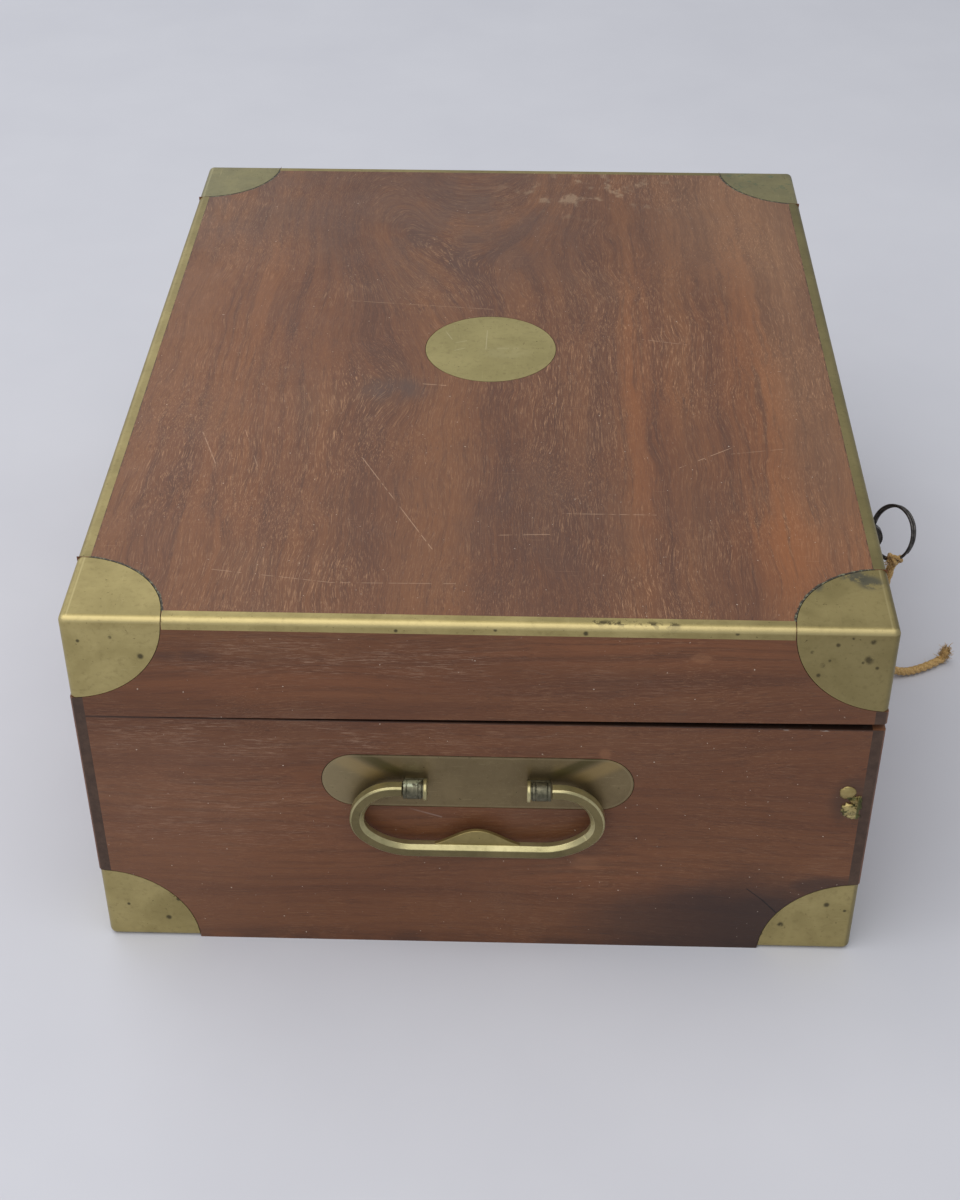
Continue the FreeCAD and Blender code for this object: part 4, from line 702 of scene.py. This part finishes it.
DISC_SCRATCHES = (
    ((-1.7, 20.0), (-2.0, 1.0)),
    ((-15.0, 9.0), (-10.0, 11.0)),
    ((-14.6, 3.0), (-10.4, 5.0)),
    ((-19.0, 19.0), (-16.0, 12.0)),
    ((2.0, 5.0), (12.0, 5.5)),
)
DISC_SCRATCH_WIDTH = 0.3
DISC_SCRATCH = colour(216, 206, 166)
DISC_PALE = colour(196, 184, 136)
DISC_PALE_PLACE = ((6.0, 2.0), (9.0, 5.0))


def disc_marks(finish, base, rough):
    """Scratches on the lid's disc."""
    x, y = finish.x, finish.y
    broken = finish.noise(0.3, 2.0, 0.6).fade(0.3, 0.5)
    for start, end in DISC_SCRATCHES:
        scratch = finish.scratch(x, y, start, end, DISC_SCRATCH_WIDTH) * broken
        base = finish.mix(scratch * 0.6, base, DISC_SCRATCH)
    pale = finish.patch(x, y, *DISC_PALE_PLACE, 0.8) * broken
    return finish.mix(pale * 0.3, base, DISC_PALE), rough


BLOTCH_GREEN = colour(88, 112, 96)


def far_marks(finish, base, rough):
    """Blue-green blotches on the corners at the far end."""
    blots = finish.noise(0.16, 3.0, 0.6).fade(0.56, 0.66) * finish.x.fade(90.0, 120.0)
    return finish.mix(blots * 0.55, base, BLOTCH_GREEN), rough + blots * 0.2


trim_brass = brass("trim_brass", colour(164, 149, 98), colour(186, 170, 116), corner_marks, 0.4)
disc_brass = brass("disc_brass", colour(170, 157, 105), colour(181, 168, 115), disc_marks, 0.42)
back_brass = brass("back_brass", colour(132, 126, 92), colour(150, 142, 102), far_marks, 0.42)
plate_brass = brass("plate_brass", colour(114, 99, 71), colour(130, 114, 83), swing_marks, 0.42)
handle_brass = brass("handle_brass", colour(158, 150, 108), colour(192, 182, 138), None, 0.34)
web_brass = brass("web_brass", colour(140, 126, 80), colour(158, 142, 92), None, 0.4)
stub_brass = brass("stub_brass", colour(140, 120, 72), colour(196, 180, 124), stub_marks, 0.4)
# A darker copy of the handle's brass for the bail's front flat: partly tarnish, partly painted dark
# reflection.
handle_tarnish_and_dark_reflection = brass("handle_tarnish_and_dark_reflection", colour(108, 98, 66), colour(130, 118, 80), None, 0.42)
inner_brass = brass("inner_brass", colour(156, 141, 94), colour(178, 162, 110))


CRUST_PALE = colour(196, 204, 176)


def steel(name, dark, light, crusted=False):
    """Old steel, dull and a little mottled, with or without a pale crust on top of the left barrel."""
    finish = Finish(name)
    mottle = finish.noise(0.7, 4.0, 0.65)
    base = finish.mix(mottle.fade(0.35, 0.7), dark, light)
    if crusted:
        high = finish.z.fade(84.7, 85.3) * finish.x.fade(-14.0, -18.0) * finish.y.fade(-170.0, -175.0)
        crust = high * finish.noise(0.45, 3.0, 0.6).fade(0.4, 0.5)
        base = finish.mix(crust * 0.9, base, CRUST_PALE)
    return finish.surface(base, mottle * 0.2 + 0.32, mottle, 0.03, Metallic=METALLIC)


old_steel = steel("old_steel", colour(64, 62, 62), colour(104, 102, 100))
barrel_metal = steel("barrel_metal", colour(84, 82, 66), colour(116, 112, 92), True)


def twine_finish():
    """Coarse yellow-brown twine."""
    finish = Finish("twine_fibre")
    tufts = finish.noise(1.6, 4.0, 0.7)
    base = finish.mix(tufts.fade(0.3, 0.7), colour(150, 114, 64), colour(214, 180, 120))
    return finish.surface(base, 0.95, tufts, 0.3, Specular_IOR_Level=0.2, Sheen_Weight=0.2)


def leather_finish():
    """Worn dark green leather."""
    finish = Finish("slope_leather")
    pebbles = finish.noise(1.4, 4.0, 0.6)
    worn = finish.noise(0.02, 4.0, 0.6)
    base = finish.mix(worn.fade(0.3, 0.8), colour(42, 60, 44), colour(58, 76, 54))
    base = finish.mix(pebbles.fade(0.5, 0.7) * 0.3, base, colour(26, 40, 30))
    return finish.surface(base, worn * 0.2 + 0.42, pebbles, 0.12)


def lining_finish():
    """Thin plum-coloured cloth."""
    finish = Finish("lid_lining")
    warp = (finish.x * 8.0).sine() * 0.5 + (finish.y * 8.0).sine() * 0.5
    faded = finish.noise(0.015, 4.0, 0.6)
    base = finish.mix(faded.fade(0.25, 0.8), colour(74, 38, 46), colour(88, 48, 54))
    return finish.surface(base, 0.9, warp, 0.05, Sheen_Weight=0.3)


def glass_finish():
    """Clear, slightly green glass."""
    finish = Finish("bottle_glass")
    waves = finish.noise(0.05, 2.0, 0.5)
    return finish.surface(colour(214, 228, 220), 0.06, waves, 0.3, Transmission_Weight=1.0, IOR=1.5)


def floor_finish():
    """Plain pale cloth."""
    finish = Finish("floor_cloth")
    folds = finish.noise(0.01, 3.0, 0.6)
    base = finish.mix(folds, colour(193, 194, 202), colour(202, 203, 210))
    return finish.surface(base, 0.95, folds, 0.4, Specular_IOR_Level=0.1)


FINISHES = {
    "lid_panel": lid_wood,
    "writing_slope": slope_wood,
    "slope_leather": leather_finish(),
    "lid_lining": lining_finish(),
    "ink_bottles": glass_finish(),
    "lid_cartouche": disc_brass,
    "left_handle_plate": plate_brass,
    "right_handle_plate": plate_brass,
    "left_bail": handle_brass,
    "right_bail": handle_brass,
    "left_handle_barrels": barrel_metal,
    "right_handle_barrels": barrel_metal,
    "lock_case": plate_brass,
}
for names, finish in (
    (("lid_left_end", "lid_right_end", "base_left_end", "base_right_end", "drawer_front"), end_wood),
    (("lid_front", "lid_back", "base_front", "base_back"), long_wood),
    (("ink_partitions", "pen_tray_rests", "letter_divider", "slope_ledges"), plain_along_x),
    (("drawer_tail", "drawer_stop"), plain_along_x),
    (("base_bottom", "dust_board", "pen_partition", "pen_tray"), plain_along_y),
    (("drawer_sides", "drawer_bottom", "drawer_guides"), plain_along_y),
    (("lid_corner_front_left", "lid_corner_back_left", "base_corner_brasses"), trim_brass),
    (("lid_side_edging", "lid_end_edging"), trim_brass),
    (("lid_corner_back_right", "lid_corner_front_right"), back_brass),
    (("lock_selvedge", "link_plate", "escutcheon", "hinge_leaves_base", "hinge_leaves_lid"), inner_brass),
    (("drawer_knob", "drawer_pin", "ink_bottle_caps", "slope_pins"), inner_brass),
    (("key", "key_ring", "lock_bolt", "hinge_pins", "hinge_screws_base", "hinge_screws_lid"), old_steel),
):
    for name in names:
        FINISHES[name] = finish
fibre = twine_finish()
FINISHES["twine"] = fibre
FINISHES["twine_knot"] = fibre
for name, finish in FINISHES.items():
    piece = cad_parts[name]
    piece.data.materials.clear()
    piece.data.materials.append(finish)


# ---------------------------------------------------------------- new pieces
def piece_from(form, name, body, slot, *finishes):
    """A finished piece from its form. It moves with its body. The record's material slot that it is given is
    not used.
    """
    bmesh.ops.recalc_face_normals(form, faces=form.faces)
    mesh = bpy.data.meshes.new(name)
    form.to_mesh(mesh)
    form.free()
    for finish in finishes:
        mesh.materials.append(finish)
    mesh.polygons.foreach_set("use_smooth", [True] * len(mesh.polygons))
    piece = bpy.data.objects.new(name, mesh)
    bpy.context.collection.objects.link(piece)
    if body:
        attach(piece, body)
    return piece


SHARP_ANGLE = math.radians(28)


def soften(piece, width, segments=2):
    """Rounds a piece's sharp edges a little."""
    bevel = piece.modifiers.new("soften", "BEVEL")
    bevel.width = width
    bevel.segments = segments
    bevel.limit_method = "ANGLE"
    bevel.angle_limit = SHARP_ANGLE
    bevel.harden_normals = True


def skin(form, sections, closed=False, finish_of=None):
    """Faces between sections that follow each other. A face closes each open end."""
    rings = [[form.verts.new(corner) for corner in section] for section in sections]
    pairs = list(zip(rings, rings[1:]))
    if closed:
        pairs.append((rings[-1], rings[0]))
    else:
        form.faces.new(rings[0])
        form.faces.new(rings[-1])
    for before, after in pairs:
        for side in range(len(before)):
            following = (side + 1) % len(before)
            face = form.faces.new((before[side], before[following], after[following], after[side]))
            if finish_of:
                face.material_index = finish_of(side)


TUBE_ASIDE = Vector((0.31, 0.89, 0.33))


def tube(form, points, radius, sides=8, closed=False, end_share=1.0):
    """A round tube along points. Its radius changes evenly to a share of it at the end."""
    sections = []
    count = len(points)
    for index, point in enumerate(points):
        if closed:
            before, after = points[index - 1], points[(index + 1) % count]
        else:
            before, after = points[max(index - 1, 0)], points[min(index + 1, count - 1)]
        way = (after - before).normalized()
        across = way.cross(TUBE_ASIDE).normalized()
        up = way.cross(across)
        wide = radius * (1 + (end_share - 1) * index / (count - 1))
        turns = [math.tau * side / sides for side in range(sides)]
        sections.append([point + (across * math.cos(turn) + up * math.sin(turn)) * wide for turn in turns])
    skin(form, sections, closed)


SPIN_STEPS = 36


def spun(form, profile, at, finish_index):
    """A profile of places along x and radii, spun about x at a place."""
    corners = [form.verts.new((x, 0, radius)) for x, radius in profile]
    edges = [form.edges.new(pair) for pair in zip(corners, corners[1:])]
    before = set(form.faces)
    bmesh.ops.spin(
        form, geom=corners + edges, cent=(0, 0, 0), axis=(1, 0, 0), dvec=(0, 0, 0), angle=math.tau,
        steps=SPIN_STEPS, use_merge=True,
    )
    made = [face for face in form.faces if face not in before]
    for face in made:
        face.material_index = finish_index
    bmesh.ops.translate(form, verts=list({vertex for face in made for vertex in face.verts}), vec=at)


def middle_of(node):
    """The middle of a node's box."""
    low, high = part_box(node)
    return (Vector(low) + Vector(high)) / 2


# ---------------------------------------------------------------- carrying handles
PIVOT = Vector((0, -182.7, HANDLE_HEIGHT)) * MM
WOOD_FACE_Y = -HALF_LENGTH * MM
BARREL_INNER = 17.5 * MM
BARREL_LENGTH = 8.5 * MM
BARREL_RADIUS = 3.4 * MM
COLLAR_WIDTH = 1.4 * MM
COLLAR_RADIUS = 3.9 * MM
GROOVE = 0.25 * MM
GROOVE_INSETS = (1.2 * MM, 1.3 * MM)
BARREL_ARRIS = 0.12 * MM
BAIL_HALF_SPAN = 42.8 * MM
BAIL_DROP = 28.3 * MM
BAIL_SWEEP = 19.4 * MM
BAIL_HALF_BAR = 2.6 * MM
BAIL_ARRIS = 0.35 * MM
BAIL_WORN = 0.7 * MM
BAIL_STEP = 5
FRONT_FLAT = 5
WEB_HALF_WIDTH = 18.5 * MM
WEB_RISE = 9.2 * MM
WEB_HALF_GAUGE = 0.8 * MM
WEB_HALF_STEPS = 16
BRIGHT, TARNISH_AND_DARK_REFLECTION, WEB = 0, 1, 2
SLEEVE, COLLAR = 0, 1
RIGHT_SIDE = Matrix.Rotation(math.pi, 4, "Z")


def bail_line():
    """The bail's line from its right pivot down and round to its left one, with each point's turn."""
    upper = BAIL_DROP / 2
    lean = math.sqrt(0.5)
    wide = (BAIL_SWEEP * lean - upper * (1 - lean)) / (lean * 2 - 1)
    tight = (upper * lean - BAIL_SWEEP * (1 - lean)) / (lean * 2 - 1)
    step = (wide - tight) * lean
    bends = (
        (upper, BAIL_HALF_SPAN - upper, -upper, 0, 90),
        (tight, BAIL_HALF_SPAN - tight, -upper, 90, 135),
        (wide, BAIL_HALF_SPAN - tight - step, step - upper, 135, 180),
    )
    line = [((BARREL_INNER + BARREL_LENGTH) * 1.01, 0.0, 0.0)]
    for radius, x, z, first, last in bends:
        for angle in range(first, last + 1, BAIL_STEP):
            turn = math.radians(angle)
            line.append((x + radius * math.sin(turn), z + radius * math.cos(turn), turn))
    return line + [(-x, z, -turn) for x, z, turn in reversed(line)]


def bail_sections():
    """Eight-sided sections along the bail's line."""
    edge = BAIL_HALF_BAR * math.tan(math.radians(22.5))
    half = BAIL_HALF_BAR
    corners = (
        (half, edge), (edge, half), (-edge, half), (-half, edge),
        (-half, -edge), (-edge, -half), (half - BAIL_WORN, -half), (half, BAIL_WORN - half),
    )
    sections = []
    for x, z, turn in bail_line():
        outwards = Vector((math.sin(turn), 0, math.cos(turn)))
        middle = PIVOT + Vector((x, 0, z))
        sections.append([middle + outwards * out + Vector((0, y, 0)) for out, y in corners])
    return sections


def bail_finish(side):
    """The flat that faces away from the box gets the darker brass, partly tarnish and partly a painted dark
    reflection. The others get the lighter brass.
    """
    return TARNISH_AND_DARK_REFLECTION if side == FRONT_FLAT else BRIGHT


def bell(share):
    """The web's height, from 0 at its tails to 1 at its crown."""
    return 0.5 + 0.5 * math.cos(math.pi * share)


def web_sections():
    """Upright sections through the bell-shaped web, from tail to tail."""
    low = PIVOT.z - BAIL_DROP
    foot = BAIL_HALF_BAR * 0.8
    front, back = PIVOT.y - WEB_HALF_GAUGE, PIVOT.y + WEB_HALF_GAUGE
    sections = []
    for step in range(-WEB_HALF_STEPS, WEB_HALF_STEPS + 1):
        share = step / WEB_HALF_STEPS
        x = share * WEB_HALF_WIDTH
        top = low + foot + (WEB_RISE - foot) * bell(share)
        corners = ((front, low), (front, top), (back, top), (back, low))
        sections.append([Vector((x, y, z)) for y, z in corners])
    return sections


def collar_profile():
    """The collar's places along the pivot and its radii."""
    start, end = BARREL_INNER, BARREL_INNER + COLLAR_WIDTH
    low = COLLAR_RADIUS - GROOVE
    rims = [(start, low), (start + GROOVE, COLLAR_RADIUS), (end - GROOVE, COLLAR_RADIUS), (end, low)]
    return [(start, 0), *rims, (end, 0)]


def sleeve_profile():
    """The sleeve's places along the pivot and its radii, with a groove near each end."""
    start = BARREL_INNER + COLLAR_WIDTH + GROOVE * 2
    end = BARREL_INNER + BARREL_LENGTH
    neck = BARREL_RADIUS - GROOVE * 2
    profile = [(BARREL_INNER + COLLAR_WIDTH, neck), (start, neck), (start, BARREL_RADIUS)]
    for groove in (start + GROOVE_INSETS[0], end - GROOVE_INSETS[1]):
        for shift, depth in ((-GROOVE, 0), (0, GROOVE), (GROOVE, 0)):
            profile.append((groove + shift, BARREL_RADIUS - depth))
    return profile + [(end - GROOVE, BARREL_RADIUS), (end, BARREL_RADIUS - GROOVE), (end, 0)]


def make_bail(side):
    """The bail and its web on one end of the box."""
    form = bmesh.new()
    skin(form, bail_sections(), finish_of=bail_finish)
    skin(form, web_sections(), finish_of=lambda corner: WEB)
    if side == "right":
        bmesh.ops.transform(form, matrix=RIGHT_SIDE, verts=form.verts)
    body = side + "_bail"
    bail = piece_from(form, side + "_bail_loop", body, "aged_brass", handle_brass, handle_tarnish_and_dark_reflection, web_brass)
    soften(bail, BAIL_ARRIS)
    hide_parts(side + "_bail")


def make_barrels(side):
    """The two grooved barrels, with the necks that hold them, on one end of the box."""
    form = bmesh.new()
    for sign in (-1, 1):
        spun(form, [(x * sign, radius) for x, radius in collar_profile()], PIVOT, COLLAR)
        spun(form, [(x * sign, radius) for x, radius in sleeve_profile()], PIVOT, SLEEVE)
        size = (BARREL_LENGTH * 0.9, WOOD_FACE_Y - PIVOT.y, BARREL_RADIUS)
        middle = ((BARREL_INNER + BARREL_LENGTH * 0.5) * sign, (PIVOT.y + WOOD_FACE_Y) / 2, PIVOT.z)
        neck = Matrix.Translation(middle) @ Matrix.Diagonal((*size, 1))
        bmesh.ops.create_cube(form, size=1, matrix=neck)
    if side == "right":
        bmesh.ops.transform(form, matrix=RIGHT_SIDE, verts=form.verts)
    barrels = piece_from(form, side + "_barrels", "case", "aged_brass", barrel_metal, handle_brass)
    soften(barrels, BARREL_ARRIS, 1)
    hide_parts(side + "_handle_barrels")


for handle_side in ("left", "right"):
    make_bail(handle_side)
    make_barrels(handle_side)


# ---------------------------------------------------------------- bruise with two broken brass stubs
STUB_SEED = 4
# For each lump: its place along x and z, its radii and how jagged it is.
STUBS = (
    ((130.4, 80.4), (3.0, 0.8, 3.0), 0.08),
    ((133.2, 76.9), (1.6, 0.8, 1.6), 0.3),
    ((131.8, 72.6), (2.9, 1.0, 2.9), 0.3),
    ((134.6, 75.4), (1.2, 0.6, 4.2), 0.4),
    ((133.4, 69.4), (2.2, 0.4, 1.4), 0.4),
)
chance = random.Random(STUB_SEED)
form = bmesh.new()
for (x, z), radii, jag in STUBS:
    middle = Vector((x, -HALF_LENGTH, z)) * MM
    size = Matrix.Diagonal((*(radius * MM for radius in radii), 1))
    lump = Matrix.Translation(middle) @ size
    made = bmesh.ops.create_icosphere(form, subdivisions=3, radius=1.0, matrix=lump)
    for vertex in made["verts"]:
        vertex.co = middle + (vertex.co - middle) * (1 + chance.uniform(-jag, jag))
piece_from(form, "broken_stubs", "case", "aged_brass", stub_brass)


# ---------------------------------------------------------------- wire ring, knot and twine
RING_RADIUS = 11.5 * MM
RING_WIRE = 0.66 * MM
RING_MIDDLE = Vector((172.04, -6.23, 71.93)) * MM
RING_TURN = math.radians(59.0)
RING_TILT = math.radians(20.3)
RING_START = -18.0
RING_SWEEP = 700
RING_STEPS = 131
RING_SPREAD = 1.3 * MM
RING_UNEVEN = 0.35 * MM

ring_along = Vector((math.cos(RING_TURN), -math.sin(RING_TURN), 0))
ring_out = Vector((0, 0, 1)).cross(ring_along)
ring_up = Vector((0, 0, math.cos(RING_TILT))) + ring_out * math.sin(RING_TILT)
ring_normal = ring_along.cross(ring_up)
ring_points = []
for step in range(RING_STEPS + 1):
    angle = math.radians(RING_START + step * RING_SWEEP / RING_STEPS)
    lift = (step / RING_STEPS - 0.5) * RING_SPREAD
    reach = RING_RADIUS + RING_UNEVEN * math.sin(angle * 1.5 + 0.4)
    way = ring_along * math.cos(angle) + ring_up * math.sin(angle)
    ring_points.append(RING_MIDDLE + way * reach + ring_normal * lift)
form = bmesh.new()
tube(form, ring_points, RING_WIRE, 10)
ring = piece_from(form, "doubled_wire_ring", "case", "old_steel", old_steel)
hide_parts("key_ring")

TWINE_ROUTE = (
    (172.4, -13.0, 60.6),
    (169.8, -13.4, 46.0),
    (169.8, -14.6, 26.0),
    (172.8, -16.2, 9.5),
    (182.0, -15.8, 2.3),
    (194.3, -11.8, 2.3),
    (203.4, -4.9, 2.3),
)
TWINE_SEED = 11
STRAND_OFFSET = 0.86 * MM
STRAND_RADIUS = 1.0 * MM
STRAND_TURNS = 9.0
STRAND_SPREAD = 1.06
STRAND_ASIDE = Vector((0.3, 1.0, 0.2))
# The frayed end's points, along the twine's last stretch and up.
TURNED_UP = ((-2.0, 0.0), (-0.6, 0.3), (0.8, 1.4), (1.5, 3.0), (1.6, 4.8))
TUFT_RADIUS = 1.5 * MM
TUFT_SPREAD = 1.3
TUFT_HAIRS, TWINE_HAIRS, KNOT_HAIRS = 240, 150, 46
TUFT_HAIR, TWINE_HAIR, KNOT_HAIR = 0.2 * MM, 0.1 * MM, 0.16 * MM
HAIR_SHARES = (0, 0.33, 0.66, 1.0)


def twine_line():
    """The points along the twine's smooth line, round the part's own route."""
    route = bpy.data.curves.new("twine_route", "CURVE")
    route.dimensions = "3D"
    spline = route.splines.new("NURBS")
    spline.points.add(len(TWINE_ROUTE) - 1)
    for point, at in zip(spline.points, TWINE_ROUTE):
        point.co = (at[0] * MM, at[1] * MM, at[2] * MM, 1.0)
    spline.order_u = 3
    spline.use_endpoint_u = True
    spline.resolution_u = 24
    guide = bpy.data.objects.new("twine_route", route)
    line = bpy.data.meshes.new_from_object(guide)
    points = [vertex.co.copy() for vertex in line.vertices]
    bpy.data.objects.remove(guide)
    bpy.data.meshes.remove(line)
    return points


def wound(points, wide, turns, start):
    """One strand's own line, wound round the twine's line."""
    strand = []
    for index, point in enumerate(points):
        way = (points[min(index + 1, len(points) - 1)] - points[max(index - 1, 0)]).normalized()
        across = way.cross(STRAND_ASIDE).normalized()
        angle = start + turns * math.tau * index / (len(points) - 1)
        strand.append(point + (across * math.cos(angle) + way.cross(across) * math.sin(angle)) * wide)
    return strand


def random_way(reach=1.0):
    """Three random numbers in a row, as a way."""
    return Vector([chance.uniform(-reach, reach) for _ in range(3)])


def fibre_hair(form, start, way, shortest, longest, thick):
    """One loose fibre, bent a little. It stays above the floor."""
    length = chance.uniform(shortest, longest) * MM
    bend = random_way() * 0.5
    points = [start + (way * share + bend * share * share) * length for share in HAIR_SHARES]
    for point in points:
        point.z = max(point.z, thick)
    tube(form, points, thick, 3, end_share=0.4)


twine_points = twine_line()
chance = random.Random(TWINE_SEED)
form = bmesh.new()
for strand in range(3):
    line = wound(twine_points, STRAND_OFFSET, STRAND_TURNS, math.tau * strand / 3)
    tube(form, line, STRAND_RADIUS, end_share=STRAND_SPREAD)
twine = piece_from(form, "twine_strands", "case", "twine", fibre)
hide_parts("twine")

form = bmesh.new()
tail_way = (twine_points[-1] - twine_points[-6]).normalized()
turned_up = [twine_points[-1] + tail_way * along * MM + Vector((0, 0, up * MM)) for along, up in TURNED_UP]
tube(form, turned_up, TUFT_RADIUS, 10, end_share=TUFT_SPREAD)
for hair in range(TUFT_HAIRS):
    way = random_way().normalized()
    spot = turned_up[chance.randrange(1, len(turned_up))] + way * chance.uniform(0.8, 1.7) * MM
    upwards = (way + Vector((0, 0, 0.4))).normalized()
    fibre_hair(form, spot, upwards, 0.8, 2.2, TUFT_HAIR)
for hair in range(TWINE_HAIRS):
    spot = twine_points[chance.randrange(4, len(twine_points) - 2)]
    way = random_way().normalized()
    fibre_hair(form, spot + way * 1.2 * MM, way, 0.8, 2.2, TWINE_HAIR)
fray = piece_from(form, "twine_fuzz", "case", "twine", fibre)

LOOP_ASIDE = Vector((0.2, 0.1, 1.0))
LOOP_STEPS = 28
TAIL_WAY = Vector((-0.9, -0.5, -0.8))
# For each loop of the knot: its axis, its shift, its reach and its radius.
KNOT_LOOPS = (
    ((0.3, 0.7, 0.6), (0.5, -0.3, 0.6), 2.7, 0.85),
    ((0.9, 0.3, 0.4), (-0.5, 0.0, 0.0), 2.4, 0.85),
    ((-0.5, 0.6, 0.6), (0.8, 0.3, -0.3), 2.5, 0.8),
    ((0.1, 1.0, -0.2), (0.0, 0.0, -0.7), 1.6, 1.0),
)
knot_middle = middle_of("twine_knot")
form = bmesh.new()
for lean, shift, reach, thick in KNOT_LOOPS:
    axis = Vector(lean).normalized()
    across = axis.cross(LOOP_ASIDE).normalized()
    middle = knot_middle + Vector(shift) * MM
    loop = []
    for step in range(LOOP_STEPS):
        turn = math.tau * step / LOOP_STEPS
        loop.append(middle + (across * math.cos(turn) + axis.cross(across) * math.sin(turn)) * reach * MM)
    tube(form, loop, thick * MM, 10, closed=True)
for hair in range(KNOT_HAIRS):
    way = (TAIL_WAY + random_way(0.7)).normalized()
    spot = knot_middle + random_way(1.6) * MM
    fibre_hair(form, spot + way * 1.6 * MM, way, 1.5, 3.6, KNOT_HAIR)
knot = piece_from(form, "twine_wraps", "case", "twine", fibre)
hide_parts("twine_knot")


# ---------------------------------------------------------------- floor, sky and the end of the script
FLOOR_HALF_SIZE = 12.0

form = bmesh.new()
bmesh.ops.create_grid(form, x_segments=1, y_segments=1, size=FLOOR_HALF_SIZE)
floor = piece_from(form, "floor", None, None, floor_finish())

world = bpy.data.worlds.new("sky")
world.use_nodes = True
sky = world.node_tree.nodes["Background"]
sky.inputs["Color"].default_value = SKY_TINT
sky.inputs["Strength"].default_value = SKY_STRENGTH
bpy.context.scene.world = world
